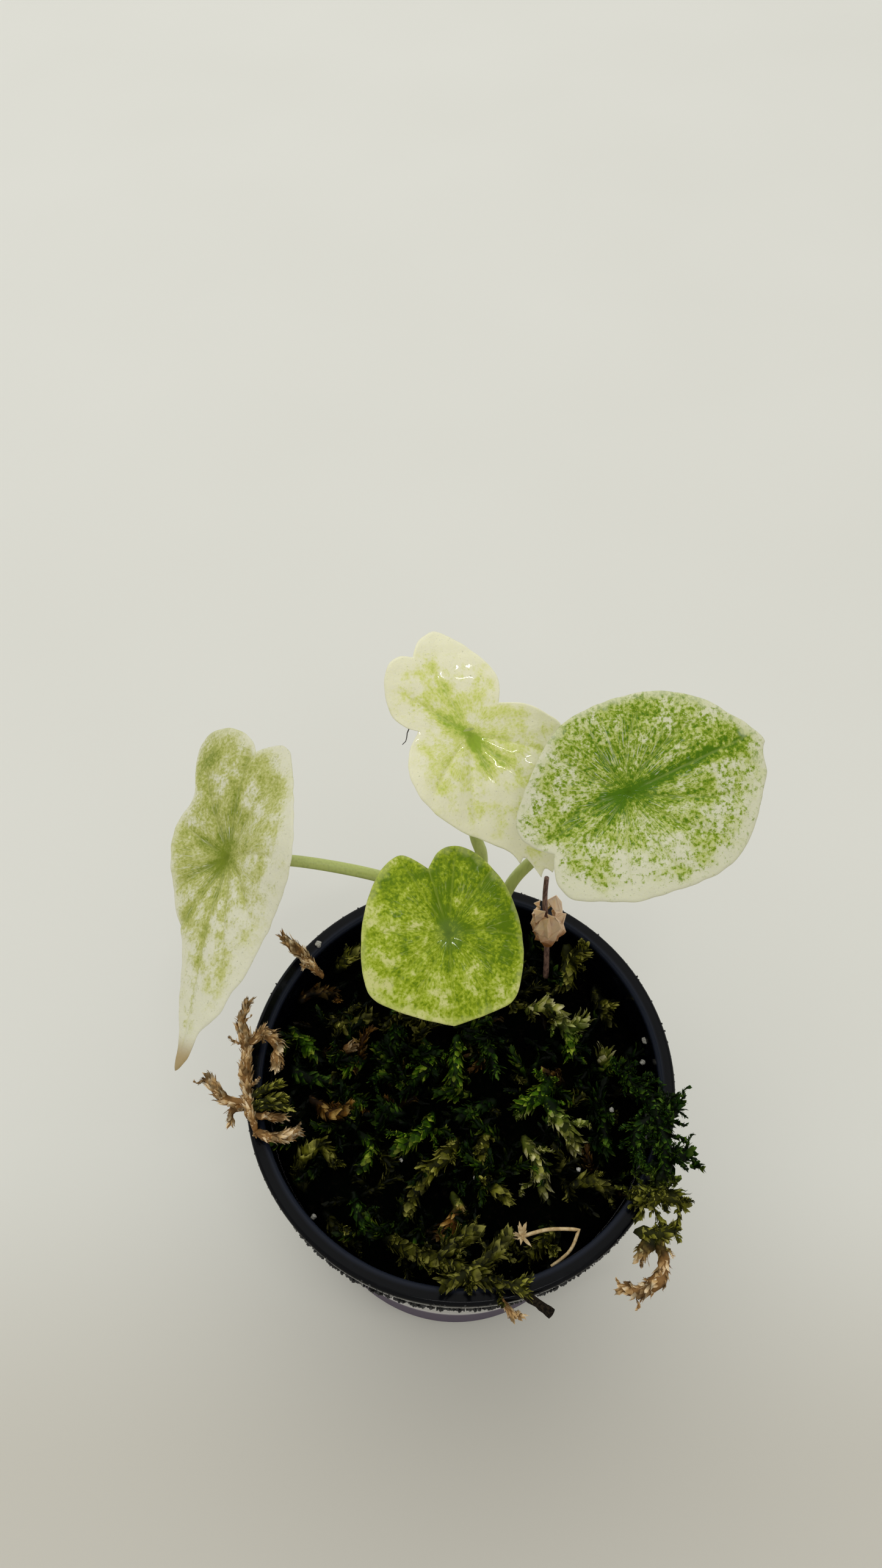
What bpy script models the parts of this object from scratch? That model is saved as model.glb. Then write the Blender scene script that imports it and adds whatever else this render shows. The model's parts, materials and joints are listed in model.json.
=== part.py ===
# A young variegated alocasia with four shield-shaped leaves, growing in live moss in a 9 cm nursery pot.
# Lengths are in millimetres until a mesh is made. The origin is the centre of the pot's base, +Z is up,
# and the plant is looked at from -Y.
import math
import random

import bpy
from mathutils import Vector

MM = 0.001
GAP = 0.3

# Pot
RIM_RADIUS = 45.0
BASE_RADIUS = 37.0
POT_HEIGHT = 82.0
WALL = 1.0
LIP_WIDTH = 3.4
BAND_HEIGHT = 8.0
BAND_TAPER = 0.6
FLOOR = 1.6
BASE_EDGE = 1.0
LIP_THICKNESS = 1.2
LIP_ROUND = 1.0
POT_SIDES = 40
DRAIN_COUNT = 6
DRAIN_RADIUS = 3.5
DRAIN_CIRCLE = 24.0
DRAIN_SIDES = 12

# Potting mix: how high its top lies at the middle, how it slopes and how rough it is
MIX_LEVEL = 74.0
MIX_SLOPE_X = -0.045
MIX_SLOPE_Y = 0.035
MIX_LUMP = 0.9
MIX_LUMP_PITCHES = (3.6, 4.0, 5.5)
MIX_EDGE_DROP = 2.5
MIX_SIDE_GAP = 0.5
MIX_RINGS = (1.0, 0.84, 0.67, 0.5, 0.33, 0.16)

# Plant
CROWN = (2.0, 26.0)
CROWN_RADIUS = 4.3
CROWN_FOOT = 63.0
CROWN_TOP = 79.5
CROWN_SIDES = 12
PETIOLE_BASE_RADIUS = 1.35
PETIOLE_TOP_RADIUS = 1.15
PETIOLE_SIDES = 8
PETIOLE_CLEARANCE = 0.6
PETIOLE_STEP = 6.0
PETIOLE_STRAIGHT = 4.5
BLADE_THICKNESS = 0.7
BLADE_STEP = 3.4
BLADE_RINGS = (0.22, 0.5, 0.78, 1.0)
STALK_RADIUS = 0.65
STALK_SIDES = 6
WELL_CLEARANCE = 0.5
WELL_TOP = 90.0

# Papery scale
SCALE_FOOT = 91.0
SCALE_TOP = 102.0
SCALE_SHIFT = 0.8
SCALE_FOOT_RADIUS = 1.35
SCALE_TOP_RADIUS = 4.6
SCALE_THICKNESS = 0.7
SCALE_START = math.radians(115)
SCALE_WRAP = math.radians(310)
SCALE_TURNS = 14
SCALE_ROWS = 3

# Moss
STEM_SIDES = 5
STEM_STEP = 4.2
LEAFLET_PITCH = 1.8
LEAFLET_WIDTH = 0.72
LEAFLET_DEPTH = 0.55
LEAFLET_REACH = 3.1
LOWEST_LEAFLET = -0.15
LEAFLET_LEANS = (40.0, 66.0)
STAR_LEAN = math.radians(24)
STAR_REACH = 4.7
STAR_COUNT = 4
SEAT_SHARE = 0.8
GOLDEN_ANGLE = math.radians(137.5)

# Twig and straw
TWIG_ROUTE = ((10.5, -38.5, 84.2), (13.8, -42.6, 83.4), (17.2, -46.4, 83.0))
TWIG_RADII = (0.7, 0.95)
STRAW_RADIUS = 0.42
STRAW_ARM = ((11.0, -31.2, 79.4), (16.5, -29.0, 80.8), (22.5, -28.6, 81.4))
STRAW_BENT_ARM = ((22.9, -29.4, 81.3), (21.2, -33.6, 79.6), (17.6, -37.0, 78.6))
STRAW_STAR_COUNT = 5
STRAW_STAR_REACH = 2.6


def clear_scene():
    for thing in list(bpy.data.objects):
        bpy.data.objects.remove(thing, do_unlink=True)


def material(name, colour, roughness):
    found = bpy.data.materials.get(name)
    if found:
        return found
    made = bpy.data.materials.new(name)
    made.use_nodes = True
    shader = made.node_tree.nodes["Principled BSDF"]
    shader.inputs["Base Color"].default_value = (*colour, 1.0)
    shader.inputs["Roughness"].default_value = roughness
    shader.inputs["Metallic"].default_value = 0.0
    made.diffuse_color = (*colour, 1.0)
    return made


def solid(name, points, faces, finish=None, smooth_angle=40):
    """One object from points in millimetres."""
    mesh = bpy.data.meshes.new(name)
    mesh.from_pydata([Vector(point) * MM for point in points], [], faces)
    mesh.update()
    made = bpy.data.objects.new(name, mesh)
    bpy.context.scene.collection.objects.link(made)
    if finish:
        mesh.materials.append(finish)
        mesh.shade_smooth()
        mesh.set_sharp_from_angle(angle=math.radians(smooth_angle))
    return made


def smooth_route(points, step):
    """Points about a step apart on a Catmull-Rom curve through the given ones."""
    points = [Vector(point) for point in points]
    ends = [points[0] * 2 - points[1], *points, points[-1] * 2 - points[-2]]
    route = []
    for before, start, end, after in zip(ends, ends[1:], ends[2:], ends[3:]):
        count = max(2, round((end - start).length / step))
        for index in range(count):
            route.append(between(before, start, end, after, index / count))
    return [*route, points[-1]]


def between(before, start, end, after, t):
    return 0.5 * (
        start * 2
        + (end - before) * t
        + (before * 2 - start * 5 + end * 4 - after) * t**2
        + (start * 3 - before - end * 3 + after) * t**3
    )


def frames_along(route):
    """A direction and two cross directions at each point, with no twist from one to the next."""
    frames = []
    side = None
    for index, point in enumerate(route):
        ahead = route[min(index + 1, len(route) - 1)]
        behind = route[max(index - 1, 0)]
        along = (ahead - behind).normalized()
        if side is None:
            side = along.orthogonal()
        side = (side - along * side.dot(along)).normalized()
        frames.append((point, along, side, along.cross(side)))
    return frames


def tube(route, radii, sides):
    """Points and faces of a closed tube, with a radius for each point of its route."""
    points = []
    for (centre, _, side, up), radius in zip(frames_along(route), radii):
        for index in range(sides):
            angle = 2 * math.pi * index / sides
            points.append(centre + (side * math.cos(angle) + up * math.sin(angle)) * radius)
    faces = []
    for ring in range(len(route) - 1):
        for index in range(sides):
            here = ring * sides + index
            beside = ring * sides + (index + 1) % sides
            faces.append((here, beside, beside + sides, here + sides))
    faces.append(tuple(reversed(range(sides))))
    faces.append(tuple(range(len(points) - sides, len(points))))
    return points, faces


def turned(profile, sides, centre=(0.0, 0.0)):
    """Points and faces of a solid turned about an upright axis. The profile starts and ends on the axis,
    with its outer side going up."""
    points = [(*centre, profile[0][1])]
    for radius, height in profile[1:-1]:
        for index in range(sides):
            angle = 2 * math.pi * index / sides
            x = centre[0] + radius * math.cos(angle)
            y = centre[1] + radius * math.sin(angle)
            points.append((x, y, height))
    points.append((*centre, profile[-1][1]))
    last = len(points) - 1
    faces = []
    for index in range(sides):
        beside = (index + 1) % sides
        faces.append((0, 1 + beside, 1 + index))
        faces.append((last, last - sides + index, last - sides + beside))
        for ring in range(len(profile) - 3):
            low = 1 + ring * sides
            faces.append((low + index, low + beside, low + sides + beside, low + sides + index))
    return points, faces


def apply_modifiers(thing):
    graph = bpy.context.evaluated_depsgraph_get()
    mesh = bpy.data.meshes.new_from_object(thing.evaluated_get(graph))
    thing.modifiers.clear()
    thing.data = mesh


def fuse(name, shapes, finish):
    """One solid from overlapping shapes: the first is the core, and the rest are rooted in it."""
    core = solid(name, *shapes[0], finish, smooth_angle=25)
    group = bpy.data.collections.new(name + "_shapes")
    bpy.context.scene.collection.children.link(group)
    for index, shape in enumerate(shapes[1:]):
        piece = solid(f"{name}_shape_{index}", *shape)
        bpy.context.scene.collection.objects.unlink(piece)
        group.objects.link(piece)
    union = core.modifiers.new("join", "BOOLEAN")
    union.operation = "UNION"
    union.operand_type = "COLLECTION"
    union.collection = group
    apply_modifiers(core)
    for piece in list(group.objects):
        bpy.data.objects.remove(piece, do_unlink=True)
    bpy.data.collections.remove(group)
    return core


def cut(thing, cutters, solver="EXACT"):
    """Takes the cutters' shapes out of a solid. They stay in the scene as guides."""
    for cutter in cutters:
        cutter.hide_render = True
        cutter.display_type = "WIRE"
        difference = thing.modifiers.new("cut", "BOOLEAN")
        difference.operation = "DIFFERENCE"
        difference.solver = solver
        difference.object = cutter


# Pot and potting mix


def inner_radius(height):
    """Radius of the pot's inner wall, which widens from the floor to the lip."""
    top = RIM_RADIUS - LIP_WIDTH
    return BASE_RADIUS - WALL + (top - BASE_RADIUS + WALL) * height / POT_HEIGHT


def make_pot():
    lip_inner = RIM_RADIUS - LIP_WIDTH
    band_foot = POT_HEIGHT - BAND_HEIGHT
    lip_foot = POT_HEIGHT - LIP_THICKNESS
    profile = [
        (0, 0),
        (BASE_RADIUS - BASE_EDGE, 0),
        (BASE_RADIUS, BASE_EDGE),
        (inner_radius(band_foot) + WALL, band_foot),
        (inner_radius(lip_foot) + WALL, lip_foot),
        (RIM_RADIUS - WALL, lip_foot),
        (RIM_RADIUS - BAND_TAPER - WALL, band_foot),
        (RIM_RADIUS - BAND_TAPER, band_foot),
        (RIM_RADIUS, POT_HEIGHT - LIP_ROUND),
        (RIM_RADIUS - 0.3 * LIP_ROUND, POT_HEIGHT - 0.3 * LIP_ROUND),
        (RIM_RADIUS - LIP_ROUND, POT_HEIGHT),
        (lip_inner + LIP_ROUND, POT_HEIGHT),
        (lip_inner + 0.3 * LIP_ROUND, POT_HEIGHT - 0.3 * LIP_ROUND),
        (lip_inner, POT_HEIGHT - LIP_ROUND),
        (inner_radius(FLOOR), FLOOR + BASE_EDGE),
        (inner_radius(FLOOR) - BASE_EDGE, FLOOR),
        (0, FLOOR),
    ]
    pot = solid("pot", *turned(profile, POT_SIDES), material("pot_plastic", (0.012, 0.013, 0.017), 0.25))
    drains = []
    for index in range(DRAIN_COUNT):
        angle = 2 * math.pi * index / DRAIN_COUNT
        centre = (DRAIN_CIRCLE * math.cos(angle), DRAIN_CIRCLE * math.sin(angle))
        rod = [(0, -1), (DRAIN_RADIUS, -1), (DRAIN_RADIUS, FLOOR + 1), (0, FLOOR + 1)]
        drains.append(solid(f"drain_{index}", *turned(rod, DRAIN_SIDES, centre)))
    cut(pot, drains, "MANIFOLD")


def mix_top(x, y):
    """Height of the potting mix: sloped, lumpy, and lower along the wall."""
    across, along, aslant = MIX_LUMP_PITCHES
    lumps = math.sin(x / across + 1.0) * math.cos(y / along)
    lumps += 0.6 * math.sin((x + 1.4 * y) / aslant)
    edge = (math.hypot(x, y) / inner_radius(MIX_LEVEL)) ** 6
    return MIX_LEVEL + MIX_SLOPE_X * x + MIX_SLOPE_Y * y + MIX_LUMP * lumps - MIX_EDGE_DROP * edge


def make_mix():
    foot = FLOOR + MIX_SIDE_GAP
    bottom = inner_radius(foot) - MIX_SIDE_GAP
    outer = inner_radius(MIX_LEVEL) - MIX_SIDE_GAP
    points = [(0, 0, foot)]
    for radius, height in ((bottom - BASE_EDGE, foot), (bottom, foot + BASE_EDGE)):
        for index in range(POT_SIDES):
            angle = 2 * math.pi * index / POT_SIDES
            points.append((radius * math.cos(angle), radius * math.sin(angle), height))
    for share in MIX_RINGS:
        for index in range(POT_SIDES):
            angle = 2 * math.pi * index / POT_SIDES
            x = outer * share * math.cos(angle)
            y = outer * share * math.sin(angle)
            points.append((x, y, mix_top(x, y)))
    points.append((0, 0, mix_top(0, 0)))
    last = len(points) - 1
    faces = []
    for index in range(POT_SIDES):
        beside = (index + 1) % POT_SIDES
        faces.append((0, 1 + beside, 1 + index))
        faces.append((last, last - POT_SIDES + index, last - POT_SIDES + beside))
        for ring in range(len(MIX_RINGS) + 1):
            low = 1 + ring * POT_SIDES
            high = low + POT_SIDES
            faces.append((low + index, low + beside, high + beside))
            faces.append((low + index, high + beside, high + index))
    mix = solid("potting_mix", points, faces, material("potting_mix", (0.03, 0.022, 0.014), 0.95))
    wells = (
        ("crown_well", CROWN, CROWN_RADIUS, CROWN_FOOT, CROWN_SIDES),
        ("stalk_well", STALK_ROUTE[0][:2], STALK_RADIUS, STALK_ROUTE[0][2], STALK_SIDES),
    )
    cutters = []
    for name, centre, held_radius, held_foot, sides in wells:
        radius = held_radius + WELL_CLEARANCE
        floor = held_foot - WELL_CLEARANCE
        well = [(0, floor), (radius, floor), (radius, WELL_TOP), (0, WELL_TOP)]
        cutters.append(solid(name, *turned(well, sides, centre)))
    cut(mix, cutters)


# Plant

STALK_ROUTE = (
    (19.6, 24.2, 65.0), (19.5, 24.6, 76.0), (18.4, 27.0, 92.0), (17.1, 29.0, 104.0), (16.8, 29.9, 112.0),
)

# Each blade is drawn flat, in millimetres from its petiole: the first number of a point runs to the tip
# and the second to the blade's left. A point given twice in a row is a sharp corner.
# The bends are heights: a fold along the midrib, the droop of the tip, the lobes and the sides,
# the dimple over the petiole, and waves that grow towards the edge.
BLADES = {
    "front": {
        "at": (-3.1, 10.4, 126.0),
        "tip": (0.08, -1.0, -0.4),
        "facing": (0.03, -0.40, 0.92),
        "outline": (
            (-12, -3), (-12, -3), (-14.8, -7.5), (-13.2, -10.8), (-9.5, -13.3), (-4.5, -15.1),
            (1, -16), (6.5, -15.9), (10.5, -14.6), (13, -10.5), (15, -5.5),
            (16.5, 0), (16.5, 0), (14.8, 6), (12.5, 11), (8, 12.8), (3, 13.4),
            (-2, 12.9), (-7, 11.4), (-11, 9), (-14.5, 5.6), (-16, 2), (-15, -1),
        ),
        "bends": {"fold": 0.16, "tip": 0.014, "lobes": 0.006, "sides": 0.016, "dimple": (1.8, 5.0)},
        "waves": (0.5, 3, 0.6, 15.0),
    },
    "right": {
        "at": (27.3, 25.8, 150.0),
        "tip": (1.0, 0.28, -0.1),
        "facing": (0.02, -0.42, 0.90),
        "outline": (
            (-14.8, -8), (-14.8, -8), (-17.5, -6.5), (-19.5, -4.3), (-20, -1.5), (-18.3, 2.2), (-15, 7.3),
            (-10, 12.8), (-4, 15.3), (2.5, 16.5), (9, 16.2), (15.5, 13.7), (20, 10), (23.8, 6.6),
            (25.4, 4.2), (25.4, 4.2), (24.6, 2.2), (24.8, -0.8), (23.2, -4.2), (20.8, -9), (17.8, -13.2),
            (13.5, -16), (8.5, -17.4), (3, -18.1), (-3, -18.5), (-8.5, -17.4), (-13, -16.2),
            (-15.2, -13.5), (-15.3, -10.5),
        ),
        "bends": {"fold": 0.12, "tip": 0.007, "lobes": 0.006, "sides": 0.010, "dimple": (2.6, 6.5)},
        "waves": (1.0, 3, 0.5, 20.0),
    },
    "back": {
        "at": (0.3, 39.0, 148.0),
        "tip": (0.35, -0.7, -0.5),
        "facing": (0.12, -0.52, 0.85),
        "outline": (
            (-16.6, -4.6), (-16.6, -4.6), (-17.6, -7.2), (-16.3, -9.8), (-12.5, -11.6), (-8.3, -12),
            (-5.6, -10.6), (-4, -8.6), (-4, -8.6), (-1, -11.6), (2.5, -13), (6.3, -12.9), (10.5, -11.3),
            (15, -8.2), (18.5, -4.6), (22.4, -0.8), (25.2, 0.3), (25.2, 0.3), (24.4, 1.5), (28.6, 2.9),
            (28.6, 2.9), (27.5, 4), (28.6, 5), (28.6, 5), (26.6, 6.2), (24.6, 7.8), (20.5, 10.6),
            (15.4, 13.8), (9.3, 16), (4.8, 16.2), (1, 13.8), (-1.8, 10.8), (-3.6, 6.8), (-3.6, 6.8),
            (-6.3, 8), (-9.4, 8.1), (-13.4, 6.5), (-17.6, 3.6), (-19.8, 0.8), (-19, -2.5),
        ),
        "bends": {"fold": 0.14, "tip": 0.006, "lobes": 0.006, "sides": 0.004, "dimple": (1.4, 6.0)},
        "waves": (1.6, 4, 0.0, 20.0),
    },
    "left": {
        "at": (-45.5, 27.0, 124.0),
        "tip": (-0.15, -0.85, -0.35),
        "facing": (-0.55, -0.22, 0.80),
        "outline": (
            (-20.9, 2.2), (-20.9, 2.2), (-23.4, 0.2), (-25.3, -4), (-25.3, -8), (-24.2, -13), (-21.2, -14.8),
            (-16.2, -13.2), (-11.5, -11.3), (-5.3, -13.3), (0, -12.3), (6.2, -10.5), (11.5, -8.6),
            (17.5, -5), (23, -3.1), (28, -1.9), (32, -0.4), (35.4, 0.9),
            (40, 1.9), (40, 1.9), (37.4, 5), (33, 6.4), (29, 9.6), (25, 11.2), (20.4, 13.2), (15, 14.8),
            (7.3, 18), (0.4, 20.4), (-6.6, 18.6), (-15.6, 13), (-21.8, 9), (-22.4, 6),
        ),
        "bends": {"fold": 0.16, "tip": 0.003, "lobes": 0.006, "sides": 0.006, "dimple": (2.6, 6.0)},
        "waves": (1.4, 4, 1.0, 20.0),
    },
}

# Petioles: where each stands on the crown, as x and y, and the bends on its way to its blade
PETIOLES = {
    "front": ((1.4, 23.6), (0.2, 24.4, 95.0), (-1.8, 20.0, 111.0)),
    "left": (
        (-0.4, 26.4), (-2.6, 27.0, 94.0), (-8.0, 28.2, 107.0), (-17.1, 28.8, 114.0), (-33.6, 29.8, 118.0),
    ),
    "back": ((2.2, 28.6), (2.9, 30.2, 96.0), (3.6, 32.2, 115.0), (1.8, 34.8, 123.0)),
    "right": (
        (4.6, 25.4), (7.0, 28.0, 93.0), (9.6, 30.6, 107.0), (14.2, 31.2, 118.0), (21.0, 30.0, 133.0),
    ),
}


def blade_axes(blade):
    normal = Vector(blade["facing"]).normalized()
    tip = Vector(blade["tip"])
    along = (tip - normal * tip.dot(normal)).normalized()
    return along, normal.cross(along), normal


def blade_height(blade, u, v):
    """How far the blade stands off its flat drawing."""
    bends = blade["bends"]
    amount, count, phase, reach = blade["waves"]
    depth, width = bends["dimple"]
    away = u * u + v * v
    height = bends["fold"] * (math.sqrt(v * v + 4.0) - 2.0)
    height -= bends["tip"] * max(u, 0.0) ** 2 + bends["lobes"] * min(u, 0.0) ** 2 + bends["sides"] * v * v
    height += depth * (1.0 - math.exp(-away / (2 * width * width)))
    height += amount * away / reach**2 * math.sin(count * math.atan2(v, u) + phase)
    return height


def blade_point(blade, u, v, lift):
    """A point of the blade, moved off its middle surface by a lift along the local normal."""
    along, across, normal = blade_axes(blade)
    small = 0.05
    slope_u = (blade_height(blade, u + small, v) - blade_height(blade, u - small, v)) / (2 * small)
    slope_v = (blade_height(blade, u, v + small) - blade_height(blade, u, v - small)) / (2 * small)
    tilted = (normal - along * slope_u - across * slope_v).normalized()
    flat = Vector(blade["at"]) + along * u + across * v
    return flat + normal * blade_height(blade, u, v) + tilted * lift


def outline_points(corners):
    """Points about a step apart round a closed outline, smooth except where a point is given twice."""
    corners = [Vector(corner) for corner in corners]
    total = len(corners)
    outline = []
    for index in range(total):
        before, start, end, after = (corners[(index + shift) % total] for shift in (-1, 0, 1, 2))
        if start == end:
            continue
        count = max(1, round((end - start).length / BLADE_STEP))
        for part in range(count):
            outline.append(between(before, start, end, after, part / count))
    return outline


def make_blade(name, blade):
    outline = outline_points(blade["outline"])
    around = len(outline)
    half = BLADE_THICKNESS / 2
    points = []
    for lift in (half, -half):
        points.append(blade_point(blade, 0, 0, lift))
        for share in BLADE_RINGS:
            for u, v in outline:
                points.append(blade_point(blade, u * share, v * share, lift))
    under = len(points) // 2
    faces = []
    for index in range(around):
        beside = (index + 1) % around
        triangles = [(0, 1 + index, 1 + beside)]
        for ring in range(len(BLADE_RINGS) - 1):
            inner = 1 + ring * around
            outer = inner + around
            triangles.append((inner + index, outer + index, outer + beside))
            triangles.append((inner + index, outer + beside, inner + beside))
        faces.extend(triangles)
        faces.extend((under + a, under + c, under + b) for a, b, c in triangles)
        rim = 1 + (len(BLADE_RINGS) - 1) * around
        top, bottom = (rim + index, rim + beside), (under + rim + index, under + rim + beside)
        faces.append((top[0], bottom[0], bottom[1]))
        faces.append((top[0], bottom[1], top[1]))
    if blade_runs_clockwise(outline):
        faces = [face[::-1] for face in faces]
    solid(f"blade_{name}", points, faces, material("leaf_" + name, LEAF_COLOURS[name], 0.35))


def blade_runs_clockwise(outline):
    area = sum(a.x * b.y - b.x * a.y for a, b in zip(outline, [*outline[1:], outline[0]]))
    return area < 0


LEAF_COLOURS = {
    "front": (0.48, 0.66, 0.16),
    "right": (0.62, 0.74, 0.36),
    "back": (0.78, 0.84, 0.55),
    "left": (0.72, 0.78, 0.54),
}


def make_petiole(name, foot, bends):
    """A stem from the crown's top that runs straight for its last stretch, up to its blade's underside."""
    blade = BLADES[name]
    normal = blade_axes(blade)[2]
    top = Vector(blade["at"]) - normal * (BLADE_THICKNESS / 2 + PETIOLE_CLEARANCE)
    points = [(*foot, CROWN_TOP + GAP), *bends, top - normal * PETIOLE_STRAIGHT, top]
    route = smooth_route(points, PETIOLE_STEP)
    radii = []
    for index in range(len(route)):
        share = index / (len(route) - 1)
        radii.append(PETIOLE_BASE_RADIUS + (PETIOLE_TOP_RADIUS - PETIOLE_BASE_RADIUS) * share)
    solid(f"petiole_{name}", *tube(route, radii, PETIOLE_SIDES), material("petiole", (0.30, 0.40, 0.13), 0.4))


def make_crown():
    profile = [
        (0, CROWN_FOOT),
        (CROWN_RADIUS * 0.6, CROWN_FOOT),
        (CROWN_RADIUS * 0.95, CROWN_FOOT + 3),
        (CROWN_RADIUS, CROWN_FOOT + 8),
        (CROWN_RADIUS * 0.92, CROWN_TOP - 1),
        (CROWN_RADIUS * 0.86, CROWN_TOP),
        (0, CROWN_TOP),
    ]
    solid("crown", *turned(profile, CROWN_SIDES, CROWN), material("crown", (0.34, 0.36, 0.16), 0.6))


def make_stalk():
    route = smooth_route(STALK_ROUTE, PETIOLE_STEP)
    radii = [STALK_RADIUS] * len(route)
    solid("dried_stalk", *tube(route, radii, STALK_SIDES), material("dried_stalk", (0.20, 0.10, 0.07), 0.7))


def make_scale():
    """The papery scale round the dried stalk: a ragged cone of dry skin, open upward and at one side."""
    route = smooth_route(STALK_ROUTE, 2.0)
    height = SCALE_TOP - SCALE_FOOT
    points = []
    for thickness in (0.0, SCALE_THICKNESS):
        for row in range(SCALE_ROWS):
            share = row / (SCALE_ROWS - 1)
            axis = min(route, key=lambda point: abs(point.z - SCALE_FOOT - height * share))
            for index in range(SCALE_TURNS):
                angle = SCALE_START + SCALE_WRAP * index / (SCALE_TURNS - 1)
                ragged = 1.0 + 0.28 * share * math.sin(3.7 * index) + 0.15 * share * math.sin(9.1 * index)
                flare = (SCALE_TOP_RADIUS - SCALE_FOOT_RADIUS) * share**0.7 * ragged
                radius = SCALE_FOOT_RADIUS + flare + thickness
                notched = height * share * (0.8 + 0.2 * math.sin(5.3 * index + 1))
                x = axis.x + SCALE_SHIFT * share + radius * math.cos(angle)
                points.append((x, axis.y + radius * math.sin(angle), SCALE_FOOT + notched))
    outer = SCALE_ROWS * SCALE_TURNS
    faces = []
    for row in range(SCALE_ROWS - 1):
        for index in range(SCALE_TURNS - 1):
            a = row * SCALE_TURNS + index
            b, c, d = a + 1, a + SCALE_TURNS + 1, a + SCALE_TURNS
            faces.extend([(a, c, b), (a, d, c)])
            faces.extend([(outer + a, outer + b, outer + c), (outer + a, outer + c, outer + d)])
    border = scale_border()
    for a, b in zip(border, border[1:]):
        faces.append((a, b, outer + b))
        faces.append((a, outer + b, outer + a))
    solid("papery_scale", points, faces, material("papery_scale", (0.62, 0.45, 0.30), 0.8))


def scale_border():
    """The numbers of the scale's inner points once round its edge, with the first one again at the end."""
    last_column = SCALE_TURNS - 1
    foot = [index for index in range(SCALE_TURNS)]
    right = [last_column + row * SCALE_TURNS for row in range(SCALE_ROWS)]
    top = [SCALE_ROWS * SCALE_TURNS - 1 - index for index in range(SCALE_TURNS)]
    left = [(SCALE_ROWS - 1 - row) * SCALE_TURNS for row in range(SCALE_ROWS)]
    return foot + right[1:] + top[1:] + left[1:]


# Moss, twig and straw

MOSS = {
    "dark": ((0.05, 0.12, 0.03), 0.8),
    "green": ((0.12, 0.20, 0.04), 0.8),
    "olive": ((0.28, 0.29, 0.09), 0.8),
    "brown": ((0.34, 0.20, 0.08), 0.8),
    "tan": ((0.55, 0.42, 0.25), 0.8),
    "pale": ((0.66, 0.60, 0.36), 0.8),
}

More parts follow.
